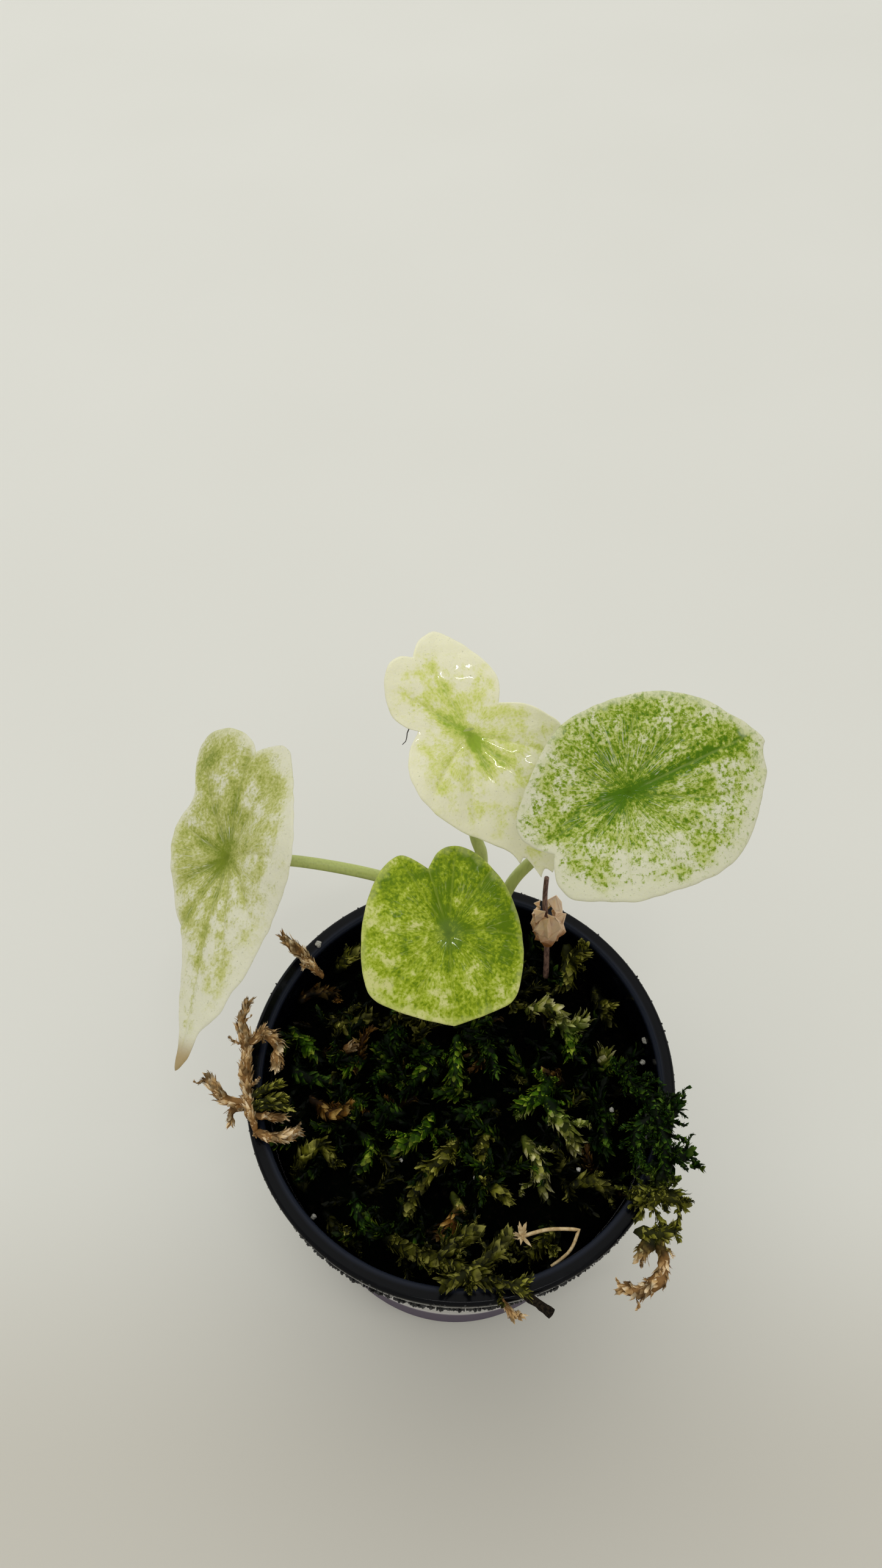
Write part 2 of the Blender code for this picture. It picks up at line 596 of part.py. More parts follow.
# Leafy strands: colour, stem radius, and each stem's points as x, y and how far its underside
# lies above the potting mix. A strand with several stems is one tuft.
STRANDS = {
    "moss_back_left": ("olive", 1.6, [((-28.5, 24.5, 0.5), (-25, 27.5, 2.0), (-20.5, 30, 0.8))]),
    "moss_rust_flake": ("brown", 1.3, [((-36, 17, 2.6), (-33, 19.5, 1.2), (-28, 19.5, 0.5))]),
    "moss_left_upper": ("green", 1.4, [((-37.5, 11.5, 1.4), (-34.5, 8, 0.8), (-30.5, 4, 0.5))]),
    "moss_left_fork": ("olive", 1.5, [((-29.5, 14, 0.5), (-25, 11.5, 1.0), (-20.5, 14.5, 0.6))]),
    "moss_long_green": ("dark", 1.4, [((-15, 15.5, 1.0), (-14, 9.5, 1.2), (-15.5, 4, 0.8), (-19, -1, 0.5))]),
    "moss_left_star": ("tan", 1.4, [((-26, 5.5, 0.5), (-22.5, 7, 1.8))]),
    "moss_centre_left": ("green", 1.7, [((-8.5, 9.5, 0.5), (-7, 4, 1.4), (-10.5, -1, 0.6))]),
    "moss_centre": ("green", 1.6, [((-0.5, 10, 1.4), (-1, 4, 0.8), (-1.5, -3, 0.5))]),
    "moss_centre_right": ("dark", 1.6, [((6, 13, 0.6), (6, 7, 1.4), (8, 1, 0.5))]),
    "moss_by_stalk": ("olive", 2.1, [
        ((24.2, 31.0, 5.0), (24.8, 27.5, 2.4), (24, 22, 0.5)),
        ((24.8, 27.5, 2.4), (28.6, 28.8, 8.4)),
    ]),
    "moss_right_upper": ("olive", 1.4, [
        ((30.5, 23.5, 1.4), (31.5, 19.5, 0.8), (33.5, 14.5, 0.5)),
        ((31.5, 19.5, 0.8), (34, 17.4, 2.8)),
    ]),
    "moss_pale_tuft": ("pale", 1.7, [
        ((14.5, 15.5, 0.5), (19.5, 16, 2.2), (24, 11.5, 1.4), (24, 6, 0.5)),
        ((24, 11.5, 1.4), (27.5, 13.5, 3.6)),
    ]),
    "moss_pale_star": ("pale", 1.4, [((31, 4, 0.5), (31.5, 7, 2.6))]),
    "moss_right_centre": ("green", 2.0, [
        ((20, 1, 0.6), (17, -3, 1.8), (12, -6, 0.5)),
        ((17, -3, 1.8), (21, -8, 1.2), (24.5, -13.5, 0.5)),
    ]),
    "moss_pale_strand": ("pale", 1.6, [((13, -11.5, 0.5), (15.5, -16, 1.6), (17.5, -22.5, 0.4))]),
    "moss_right_lower": ("olive", 1.4, [((22.5, -21, 0.5), (26.5, -20, 1.2), (31, -21.5, 0.5))]),
    "moss_middle_left": ("green", 1.5, [((-5.5, -7, 0.5), (-8, -11.5, 1.4), (-13.5, -15, 0.5))]),
    "moss_middle": ("olive", 1.8, [
        ((0, -12, 0.5), (-3.5, -16.5, 1.6), (-8.5, -21.5, 0.8), (-10.5, -27, 0.5)),
    ]),
    "moss_leafy": ("olive", 1.7, [
        ((6, -9.5, 1.6), (4.5, -14, 1.2), (4.5, -19.5, 0.5)),
        ((4.5, -19.5, 0.5), (9.5, -24, 1.0)),
    ]),
    "moss_yellow": ("brown", 1.6, [((-1.5, -23, 0.6), (-0.5, -27, 1.6), (-4.5, -31.5, 0.5))]),
    "moss_rust": ("brown", 1.5, [((-32, -4, 1.4), (-27.5, -7.5, 0.8), (-22.5, -5.5, 0.5))]),
    "moss_left_green": ("dark", 1.6, [((-36.5, 2.5, 1.4), (-33, 0, 1.2), (-27, -0.5, 0.5))]),
    "moss_left_lower": ("green", 1.5, [((-21.5, -11, 0.5), (-18.5, -14, 1.2), (-20.5, -19, 0.5))]),
    "moss_hook": ("olive", 1.2, [
        ((-31.5, -23.5, 0.6), (-33, -18.5, 1.0), (-29.5, -14.5, 1.4), (-26, -17.5, 0.6)),
    ]),
    "moss_edge_left": ("dark", 1.2, [((-35.8, -3.5, 0.6), (-37, -8, 0.8), (-36.2, -12.5, 0.5))]),
    "moss_lower_left": ("dark", 1.4, [((-21.5, -23.5, 0.5), (-20.5, -27, 0.8), (-18, -31, 0.5))]),
    "moss_loop": ("olive", 1.1, [((-27.5, -26.5, 0.5), (-25, -29.8, 1.0), (-21, -32.4, 0.5))]),
    "moss_front_right": ("olive", 1.5, [((19, -29, 0.5), (16, -32.5, 2.2), (13.4, -35.5, 4.4))]),
    "moss_right_inner": ("dark", 1.5, [((30.5, -2.5, 0.6), (30.5, -9, 1.4), (30.5, -15, 0.5))]),
    "moss_behind_left": ("dark", 1.6, [((-19, 21.5, 0.5), (-14, 24.5, 1.4), (-8.5, 22, 0.5))]),
    "moss_behind_right": ("green", 1.6, [((10.5, 20.5, 0.5), (12.5, 24.5, 1.4), (13, 30, 0.5))]),
    "moss_behind": ("dark", 1.5, [((-10.5, 32, 0.5), (-4, 34, 1.4), (3, 34.5, 0.6))]),
    "moss_left_middle": ("dark", 1.4, [((-11.5, -7.5, 0.5), (-16.5, -6, 1.2))]),
    "moss_middle_right": ("dark", 1.5, [((8, -4, 0.5), (3.5, -6, 1.2), (-0.5, -7.5, 0.5))]),
    "moss_far_right": ("dark", 1.3, [((38, 9, 1.4), (36.5, 4, 0.5))]),
    "moss_fill_left": ("green", 1.4, [((-20, 4.5, 0.5), (-24.5, 1.5, 1.0))]),
}

# Tufts that hang over the rim are placed by height, because they leave the potting mix
RIM_TUFTS = {
    "moss_rim_left": ("tan", 1.3, [
        (
            (-41.5, -13.5, 83.9), (-43.5, -8, 84.5), (-44.5, -2.5, 84.4),
            (-45, 4, 84.6), (-46.5, 9, 85.4), (-45, 13, 87),
        ),
        ((-45, 4, 84.6), (-41.5, 6.5, 86.2), (-38.5, 4, 85.6), (-38.5, 0, 84.8)),
        ((-43.5, -8, 84.5), (-47.5, -7.5, 84.4), (-52, -3.5, 85.8)),
        ((-41.5, -13.5, 83.9), (-37.5, -14.5, 83.6), (-33.5, -12.5, 80.4)),
    ]),
    "moss_rim_back_left": ("tan", 1.1, [
        ((-30.5, 21.5, 80.5), (-35, 25, 84.6), (-39.5, 28.5, 87.0)),
    ]),
    "moss_rim_right": ("dark", 1.9, [
        (
            (34, 1.5, 78.5), (37.5, -4, 82.5), (40, -10, 84.8),
            (40.5, -18, 85.2), (38.5, -25, 84.8), (36.6, -27.6, 84.6),
        ),
        ((40, -10, 84.8), (44.5, -7.5, 86.4)),
        ((40.5, -18, 85.2), (45.5, -17.5, 86.0)),
        ((38.5, -25, 84.8), (43.5, -26.5, 85.0)),
        ((40, -10, 84.8), (35.5, -13.5, 86.2), (35, -19, 85.6)),
        ((38.5, -25, 84.8), (33.5, -26, 84.4)),
    ]),
    "moss_rim_right_tail": ("brown", 1.3, [
        ((36.8, -32.5, 84.9), (38.4, -36.4, 84.6), (37.2, -39.8, 83.4), (34, -42, 81.8), (30.5, -41.2, 80.4)),
        ((33.2, -31.6, 84.0), (36.8, -32.5, 84.9), (41.0, -31.4, 84.9)),
        ((36.8, -32.5, 84.9), (34.2, -36.2, 83.0)),
    ]),
    "moss_rim_front": ("olive", 1.6, [
        ((-15, -32, 76.4), (-10, -34.5, 78.4), (-4.5, -37, 80.6), (1.5, -39.5, 84.0), (7.5, -42, 85.0)),
        ((-4.5, -37, 80.6), (-1, -33.5, 80.0), (3, -31, 79.2)),
        ((1.5, -39.5, 84.0), (5.5, -36.5, 83.4), (9, -32.5, 80.8)),
        ((1.5, -39.5, 84.0), (-3, -41.5, 84.8)),
    ]),
}


def leaflet(foot, along, outward, length, lean, radius):
    """A thin three-sided spike rooted on its stem's centre line."""
    half_width = radius * LEAFLET_WIDTH
    depth = radius * LEAFLET_DEPTH
    aim = (along * math.cos(lean) + outward * math.sin(lean)).normalized()
    wide = along.cross(outward).normalized()
    deep = aim.cross(wide).normalized()
    points = [
        foot + wide * half_width - deep * depth / 2,
        foot - wide * half_width - deep * depth / 2,
        foot + deep * depth,
        foot + aim * length,
    ]
    return points, [(0, 1, 2), (0, 3, 1), (1, 3, 2), (2, 3, 0)]


def leafy_stem(points, radius, draw):
    """A stem with leaflets that spiral up it and a star of them at its tip. None points into the mix."""
    route = smooth_route(points, STEM_STEP)
    last = len(route) - 1
    radii = [radius * (0.62 + 0.38 * math.sin(math.pi * index / last)) for index in range(last + 1)]
    shapes = [tube(route, radii, STEM_SIDES)]
    frames = frames_along(route)
    travelled = 0.0
    turn = draw.uniform(0, 2 * math.pi)
    for (here, along, side, up), (ahead, *_) in zip(frames, frames[1:]):
        length = (ahead - here).length
        while travelled < length:
            turn += GOLDEN_ANGLE
            outward = side * math.cos(turn) + up * math.sin(turn)
            size = (radius + LEAFLET_REACH) * draw.uniform(0.85, 1.15)
            lean = math.radians(draw.uniform(*LEAFLET_LEANS))
            if outward.z > LOWEST_LEAFLET:
                shapes.append(leaflet(here + along * travelled, along, outward, size, lean, radius))
            travelled += LEAFLET_PITCH * draw.uniform(0.85, 1.15)
        travelled -= length
    tip, along, side, up = frames[-1]
    for index in range(STAR_COUNT):
        angle = turn + index * 2 * math.pi / STAR_COUNT
        outward = side * math.cos(angle) + up * math.sin(angle)
        foot = tip - along * (0.8 + 0.13 * index)
        if outward.z > LOWEST_LEAFLET:
            shapes.append(leaflet(foot, along, outward, STAR_REACH, STAR_LEAN, radius * 0.6))
    return shapes


def make_tuft(name, colour, radius, stems):
    draw = random.Random(name)
    shapes = []
    for points in stems:
        shapes.extend(leafy_stem(points, radius, draw))
    fuse(name, shapes, material("moss_" + colour, *MOSS[colour]))


def make_moss():
    for name, (colour, radius, stems) in STRANDS.items():
        lifted = []
        for points in stems:
            lifted.append([(x, y, mix_top(x, y) + radius * SEAT_SHARE + lift) for x, y, lift in points])
        make_tuft(name, colour, radius, lifted)
    for name, (colour, radius, stems) in RIM_TUFTS.items():
        make_tuft(name, colour, radius, stems)


def make_twig():
    route = smooth_route(TWIG_ROUTE, 3.0)
    thin, thick = TWIG_RADII
    radii = [thin + (thick - thin) * index / (len(route) - 1) for index in range(len(route))]
    solid("twig", *tube(route, radii, 6), material("twig", (0.07, 0.06, 0.05), 0.8))


def make_straw():
    """A dry stem bent double at its far end, with a small star of dry leaflets at its near end."""
    route = [*smooth_route(STRAW_ARM, 4.0), *smooth_route(STRAW_BENT_ARM, 4.0)]
    shapes = [tube(route, [STRAW_RADIUS] * len(route), 5)]
    draw = random.Random("straw")
    upright = Vector((0, 0, 1))
    for index in range(STRAW_STAR_COUNT):
        angle = index * 2 * math.pi / STRAW_STAR_COUNT + draw.uniform(-0.3, 0.3)
        outward = Vector((math.cos(angle), math.sin(angle), 0.5)).normalized()
        foot = route[0] + upright * 0.07 * index
        shapes.append(leaflet(foot, upright, outward, STRAW_STAR_REACH, math.radians(75), 0.8))
    fuse("straw", shapes, material("straw", (0.78, 0.70, 0.50), 0.7))


def main():
    clear_scene()
    make_pot()
    make_mix()
    make_crown()
    for name, (foot, *bends) in PETIOLES.items():
        make_petiole(name, foot, bends)
    for name, blade in BLADES.items():
        make_blade(name, blade)
    make_stalk()
    make_scale()
    make_moss()
    make_twig()
    make_straw()


main()
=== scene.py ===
import json
import math
import random

import bpy
import bmesh
import numpy as np
from mathutils import Matrix, Vector, noise

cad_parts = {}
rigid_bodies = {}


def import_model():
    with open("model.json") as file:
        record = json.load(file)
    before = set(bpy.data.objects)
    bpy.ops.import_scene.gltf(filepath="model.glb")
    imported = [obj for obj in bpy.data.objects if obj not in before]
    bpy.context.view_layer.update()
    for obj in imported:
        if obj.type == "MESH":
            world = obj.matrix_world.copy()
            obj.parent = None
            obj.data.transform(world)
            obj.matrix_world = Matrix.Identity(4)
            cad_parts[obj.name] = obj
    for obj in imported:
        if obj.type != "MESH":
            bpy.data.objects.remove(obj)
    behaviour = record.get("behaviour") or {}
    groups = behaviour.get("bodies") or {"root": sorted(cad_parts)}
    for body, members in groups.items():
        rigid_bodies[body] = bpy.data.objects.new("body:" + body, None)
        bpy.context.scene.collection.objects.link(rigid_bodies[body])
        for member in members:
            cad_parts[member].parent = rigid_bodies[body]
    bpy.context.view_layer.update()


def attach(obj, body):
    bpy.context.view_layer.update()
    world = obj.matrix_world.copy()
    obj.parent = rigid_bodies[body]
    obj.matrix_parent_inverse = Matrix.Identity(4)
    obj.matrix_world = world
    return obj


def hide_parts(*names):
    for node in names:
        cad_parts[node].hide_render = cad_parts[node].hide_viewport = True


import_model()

# Setting. The pot stands on a plain, faintly warm sheet that fills the view, under one wide soft lamp. A long
# thin lamp high over the camera draws the glints on the leaves. The camera looks down from close by.
mm = 0.001
PHOTO_HEIGHT_PX = 2569
FOCAL_PX = 1781
SENSOR_WIDTH = 36.0
CAMERA_AT = (-4.8, -76.9, 305.3)
CAMERA_DOWN = math.radians(56.2)
CAMERA_ROLL = math.radians(0.65)
# The sheet's reach from its middle in metres, and where along y its painted shade makes it greyest, at the
# front, and where it is palest
SHEET_REACH = 3
SHEET_SHADE_DEEPEST_AT = -75.0
SHEET_SHADE_ENDS_AT = 10.0
ROOM_COLOUR = (1.0, 0.985, 0.945, 1.0)
ROOM_STRENGTH = 0.67


def srgb(red, green, blue):
    """A colour as it is read off a screen, 0 to 255, as the linear one that shaders take."""
    linear = []
    for level in (red, green, blue):
        share = level / 255
        linear.append(share / 12.92 if share <= 0.04045 else ((share + 0.055) / 1.055) ** 2.4)
    return (*linear, 1.0)


class Wire:
    """A socket of numbers in a node tree, so that maths on it reads as Python."""

    def __init__(self, tree, socket):
        self.tree = tree
        self.socket = socket

    def beside(self, output):
        return Wire(self.tree, self.socket.node.outputs[output])

    def maths(self, operation, *numbers):
        return self.tree.node("ShaderNodeMath", {"operation": operation}, dict(enumerate(numbers)))

    def __add__(self, other):
        return self.maths("ADD", self, other)

    def __sub__(self, other):
        return self.maths("SUBTRACT", self, other)

    def __rsub__(self, other):
        return self.maths("SUBTRACT", other, self)

    def __mul__(self, other):
        return self.maths("MULTIPLY", self, other)

    def __truediv__(self, other):
        return self.maths("DIVIDE", self, other)

    def __pow__(self, other):
        return self.maths("POWER", self, other)

    __radd__ = __add__
    __rmul__ = __mul__


class Tree:
    """Builds a node tree. A node is one call: its type, its settings, then what its sockets hold."""

    def __init__(self, group):
        self.nodes = group.nodes
        self.links = group.links

    def node(self, kind, settings=None, sockets=None, output=0):
        made = self.nodes.new(kind)
        for name, value in (settings or {}).items():
            setattr(made, name, value)
        for key, value in (sockets or {}).items():
            self.feed(made.inputs[key], value)
        return Wire(self, made.outputs[output])

    def feed(self, socket, value):
        for part in value if isinstance(value, list) else [value]:
            if isinstance(part, Wire):
                self.links.new(part.socket, socket)
            else:
                socket.default_value = part

    def place(self):
        """Where a point lies, in millimetres."""
        return self.scaled(self.node("ShaderNodeTexCoord", output="Object"), 1000.0)

    def axis(self, vector, letter):
        """One of the three numbers of a vector."""
        return self.node("ShaderNodeSeparateXYZ", None, {0: vector}, output=letter)

    def scaled(self, vector, factor):
        return self.node("ShaderNodeVectorMath", {"operation": "SCALE"}, {0: vector, 3: factor})

    def stretched(self, vector, scale):
        return self.node("ShaderNodeVectorMath", {"operation": "MULTIPLY"}, {0: vector, 1: scale})

    def noise(self, vector, size, detail=2.0, roughness=0.5):
        """Soft random cloud from 0 to 1, with features about a size in millimetres across."""
        sockets = {"Vector": vector, "Scale": 1.0 / size, "Detail": detail, "Roughness": roughness}
        return self.node("ShaderNodeTexNoise", None, sockets)

    def step(self, value, low, high, start=0.0, end=1.0):
        """Rises smoothly from start to end while the value goes from low to high."""
        sockets = {0: value, 1: low, 2: high, 3: start, 4: end}
        return self.node("ShaderNodeMapRange", {"interpolation_type": "SMOOTHSTEP"}, sockets)

    def blend(self, share, first, second):
        """A colour between two colours."""
        return self.node("ShaderNodeMix", {"data_type": "RGBA"}, {0: share, 6: first, 7: second}, output=2)

    def tones(self, value, low, high, first, second):
        """A colour that turns from the first to the second while the value goes from low to high."""
        return self.blend(self.step(value, low, high), srgb(*first), srgb(*second))

    def attribute(self, name, output="Fac"):
        return self.node("ShaderNodeAttribute", {"attribute_name": name}, output=output)

    def bump(self, height, depth):
        """A fine relief, with its depth in millimetres."""
        sockets = {"Height": height, "Distance": depth * mm, "Strength": 1.0}
        return self.node("ShaderNodeBump", None, sockets, "Normal")


def new_finish(name, even):
    """A material with the values that are even all over set on its Principled shader."""
    finish = bpy.data.materials.new(name)
    finish.use_nodes = True
    shader = finish.node_tree.nodes["Principled BSDF"]
    for socket, value in even.items():
        shader.inputs[socket].default_value = value
    return finish, Tree(finish.node_tree), shader.inputs


def new_object(name, data):
    """An object in the scene, at the origin."""
    made = bpy.data.objects.new(name, data)
    bpy.context.scene.collection.objects.link(made)
    return made


sheet_finish, tree, shader = new_finish("pale_sheet", {"Roughness": 0.75})
place = tree.place()
# Painted shade: the sheet turns greyer and warmer towards the front, in place of the lamp's falloff
painted_front_shade = tree.step(tree.axis(place, "Y"), SHEET_SHADE_DEEPEST_AT, SHEET_SHADE_ENDS_AT, 1.0, 0.0)
pale = tree.blend(tree.noise(place, 140.0), srgb(222, 222, 214), srgb(228, 228, 221))
tree.feed(shader["Base Color"], tree.blend(painted_front_shade, pale, srgb(204, 201, 190)))
sheet_mesh = bpy.data.meshes.new("sheet")
sheet_corners = [(x * SHEET_REACH, y * SHEET_REACH, 0) for x, y in ((-1, -1), (1, -1), (1, 1), (-1, 1))]
sheet_mesh.from_pydata(sheet_corners, [], [(0, 1, 2, 3)])
sheet_mesh.materials.append(sheet_finish)
sheet = new_object("sheet", sheet_mesh)


def add_lamp(name, at, towards, width, length, power, colour):
    light = bpy.data.lights.new(name, "AREA")
    light.shape = "RECTANGLE"
    light.size = width
    light.size_y = length
    light.energy = power
    light.color = colour
    lamp = new_object(name, light)
    lamp.location = Vector(at)
    lamp.rotation_euler = (Vector(towards) - Vector(at)).to_track_quat("-Z", "Y").to_euler()


add_lamp(
    "soft_lamp", at=(-0.35, 1.0, 1.25), towards=(0, 0.05, 0.08), width=2.4, length=2.4, power=9.6,
    colour=(0.98, 1.0, 1.0),
)
add_lamp(
    "thin_lamp", at=(0.10, -0.25, 1.3), towards=(0, 0.02, 0.12), width=0.4, length=0.03, power=1.4,
    colour=(1.0, 1.0, 1.0),
)
world = bpy.data.worlds.new("room")
world.use_nodes = True
world.node_tree.nodes["Background"].inputs["Color"].default_value = ROOM_COLOUR
world.node_tree.nodes["Background"].inputs["Strength"].default_value = ROOM_STRENGTH
bpy.context.scene.world = world
bpy.context.scene.view_settings.view_transform = "Standard"

lens = bpy.data.cameras.new("camera")
lens.sensor_width = SENSOR_WIDTH
lens.lens = SENSOR_WIDTH * FOCAL_PX / PHOTO_HEIGHT_PX
lens.clip_start = 0.01
camera = new_object("camera", lens)
camera.matrix_world = (
    Matrix.Translation(Vector(CAMERA_AT) * mm)
    @ Matrix.Rotation(math.pi / 2 - CAMERA_DOWN, 4, "X")
    @ Matrix.Rotation(CAMERA_ROLL, 4, "Z")
)
bpy.context.scene.camera = camera

# Pot. One thin injection-moulded shell of black polypropylene: a tapered wall with a plain round base, a
# turned-out lip, a short skirt hanging from the lip's outer edge, and six round drain holes in the floor.
RIM_RADIUS = 45.0
BASE_RADIUS = 37.0
POT_HEIGHT = 82.0
WALL = 1.0
LIP_WIDTH = 3.4
LIP_THICKNESS = 1.2
SKIRT_HEIGHT = 8.0
SKIRT_TAPER = 0.6
FLOOR = 1.6
BASE_EDGE = 1.0
# Roundings of the lip and of the corners under it, and how far its top dips between them
LIP_OUTER_ROUND = 0.9
LIP_INNER_ROUND = 0.8
LIP_DIP = 0.12
WALL_FILLET_RISE = 0.6
WALL_FILLET_WIDTH = 0.5
SKIRT_FILLET = 0.4
# A turned profile ends this far from the axis
AXIS_GAP = 0.05
POT_SIDES = 160
DRAIN_COUNT = 6
DRAIN_RADIUS = 3.5
DRAIN_CIRCLE = 24.0
# Where a painted highlight turns the lip grey: how far in from the rim, and at what height
LIP_HIGHLIGHT_FROM = 1.9
LIP_HIGHLIGHT_TO = 2.9
LIP_HIGHLIGHT_HEIGHTS = (80.4, 81.6)
# Over these heights the wall goes from a dull violet-grey, a painted reflection of the shaded floor, to
# mirror-like
MIRROR_HEIGHTS = (23.0, 31.0)
# How far under the skirt's foot its shade reaches
SKIRT_SHADE = 3.0


def new_recipe(name, inputs):
    """A Geometry Nodes tree with named inputs: the group, a Tree to build it in and its inputs by name."""
    group = bpy.data.node_groups.new(name, "GeometryNodeTree")
    group.interface.new_socket("Geometry", in_out="INPUT", socket_type="NodeSocketGeometry")
    for title, kind in {**inputs, "Finish": "Material"}.items():
        group.interface.new_socket(title, in_out="INPUT", socket_type="NodeSocket" + kind)
    group.interface.new_socket("Geometry", in_out="OUTPUT", socket_type="NodeSocketGeometry")
    recipe = Tree(group)
    given = {socket.name: Wire(recipe, socket) for socket in recipe.nodes.new("NodeGroupInput").outputs}
    return group, recipe, given


def end_recipe(recipe, geometry, finish):
    """Closes a recipe: its copies become real meshes, with the finish on all of them."""
    real = recipe.node("GeometryNodeRealizeInstances", None, {0: geometry})
    finished = recipe.node("GeometryNodeSetMaterial", None, {"Geometry": real, "Material": finish})
    recipe.feed(recipe.nodes.new("NodeGroupOutput").inputs[0], finished)


def grow(name, start, group, given, sharp=None):
    """Runs a recipe on a starting mesh and keeps what it makes as a plain mesh at the origin."""
    made = new_object(name, start)
    modifier = made.modifiers.new("recipe", "NODES")
    modifier.node_group = group
    for item in group.interface.items_tree:
        if item.in_out == "INPUT" and item.name in given:
            modifier[item.identifier] = given[item.name]
    graph = bpy.context.evaluated_depsgraph_get()
    mesh = bpy.data.meshes.new_from_object(made.evaluated_get(graph))
    made.modifiers.clear()
    made.data = mesh
    if sharp:
        mesh.shade_smooth()
        mesh.set_sharp_from_angle(angle=math.radians(sharp))
    return made


def polyline(name, runs, closed=False):
    """A mesh of edges through each run of points, given in millimetres."""
    points = []
    edges = []
    for run in runs:
        first = len(points)
        points.extend(Vector(point) * mm for point in run)
        edges.extend((index, index + 1) for index in range(first, len(points) - 1))
        if closed:
            edges.append((len(points) - 1, first))
    mesh = bpy.data.meshes.new(name)
    mesh.from_pydata(points, edges, [])
    return mesh


def arc(centre_x, centre_y, radius, start, end, count=5):
    """Points of a rounded corner in a profile, from one angle to another in degrees."""
    points = []
    for index in range(count + 1):
        angle = math.radians(start + (end - start) * index / count)
        points.append((centre_x + radius * math.cos(angle), centre_y + radius * math.sin(angle)))
    return points


def inner_radius(height):
    """Radius of the pot's inner wall, which widens from the floor to the lip."""
    top = RIM_RADIUS - LIP_WIDTH
    return BASE_RADIUS - WALL + (top - BASE_RADIUS + WALL) * height / POT_HEIGHT


skirt_foot = POT_HEIGHT - SKIRT_HEIGHT
lip_foot = POT_HEIGHT - LIP_THICKNESS
lip_inner = RIM_RADIUS - LIP_WIDTH
pot_profile = [
    (AXIS_GAP, 0),
    *arc(BASE_RADIUS - BASE_EDGE, BASE_EDGE, BASE_EDGE, -90, 0),
    (inner_radius(skirt_foot) + WALL, skirt_foot),
    (inner_radius(lip_foot - WALL_FILLET_RISE) + WALL, lip_foot - WALL_FILLET_RISE),
    (inner_radius(lip_foot) + WALL + WALL_FILLET_WIDTH, lip_foot),
    (RIM_RADIUS - WALL - SKIRT_FILLET, lip_foot),
    (RIM_RADIUS - WALL, lip_foot - SKIRT_FILLET),
    *arc(RIM_RADIUS - SKIRT_TAPER - WALL / 2, skirt_foot + WALL / 2, WALL / 2, 180, 360),
    *arc(RIM_RADIUS - LIP_OUTER_ROUND, POT_HEIGHT - LIP_OUTER_ROUND, LIP_OUTER_ROUND, 0, 90),
    (RIM_RADIUS - LIP_WIDTH / 2, POT_HEIGHT - LIP_DIP),
    *arc(lip_inner + LIP_INNER_ROUND, POT_HEIGHT - LIP_INNER_ROUND, LIP_INNER_ROUND, 90, 180),
    *arc(inner_radius(FLOOR) - BASE_EDGE, FLOOR + BASE_EDGE, BASE_EDGE, 0, -90),
    (AXIS_GAP, FLOOR),
]

turned_group, recipe, given = new_recipe("turned", {"Sides": "Int"})
circle = recipe.node("GeometryNodeCurvePrimitiveCircle", None, {"Resolution": given["Sides"], "Radius": 1.0})
profile = recipe.node("GeometryNodeMeshToCurve", None, {0: given["Geometry"]})
shell = recipe.node("GeometryNodeCurveToMesh", None, {0: circle, 1: profile})
shell = recipe.node("GeometryNodeMergeByDistance", None, {"Geometry": shell, "Distance": 0.001 * mm})
end_recipe(recipe, shell, given["Finish"])


def turned_start(name, profile):
    """A closed profile, ready to be swept round a circle of one metre: its radius is counted from there."""
    return polyline(name, [[(radius - 1000.0, -height, 0) for radius, height in profile]], closed=True)


drilled_group, recipe, given = new_recipe("drilled", {
    "Holes": "Int", "Hole radius": "Float", "Circle": "Float",
})
ring = recipe.node("GeometryNodeMeshCircle", None, {"Vertices": given["Holes"], "Radius": given["Circle"]})
rod_sockets = {"Vertices": 32, "Radius": given["Hole radius"], "Depth": 3 * FLOOR * mm}
rod = recipe.node("GeometryNodeMeshCylinder", None, rod_sockets)
rods = recipe.node("GeometryNodeInstanceOnPoints", None, {"Points": ring, "Instance": rod})
rods = recipe.node("GeometryNodeRealizeInstances", None, {0: rods})
drilled = recipe.node("GeometryNodeMeshBoolean", {"operation": "DIFFERENCE"}, {0: given["Geometry"], 1: rods})
end_recipe(recipe, drilled, given["Finish"])

pot_finish, tree, shader = new_finish("black_polypropylene", {"Specular IOR Level": 0.1})
place = tree.place()
dust = tree.step(tree.noise(place, 5.0, 5.0, 0.65), 0.5, 0.8)
smears = tree.noise(tree.stretched(place, (0.3, 0.3, 3.0)), 2.0, 4.0, 0.7)
x = tree.axis(place, "X")
y = x.beside("Y")
high = x.beside("Z")
# A painted highlight: a blue-grey line along the inner part of the lip's top
painted_lip_highlight = tree.step((x * x + y * y) ** 0.5, RIM_RADIUS - LIP_HIGHLIGHT_TO, RIM_RADIUS - LIP_HIGHLIGHT_FROM, 1.0, 0.0)
painted_lip_highlight = painted_lip_highlight * tree.step(high, *LIP_HIGHLIGHT_HEIGHTS)
black = tree.blend(dust, srgb(3, 4, 7), srgb(11, 13, 18))
black = tree.blend(painted_lip_highlight, black, srgb(27, 31, 42))
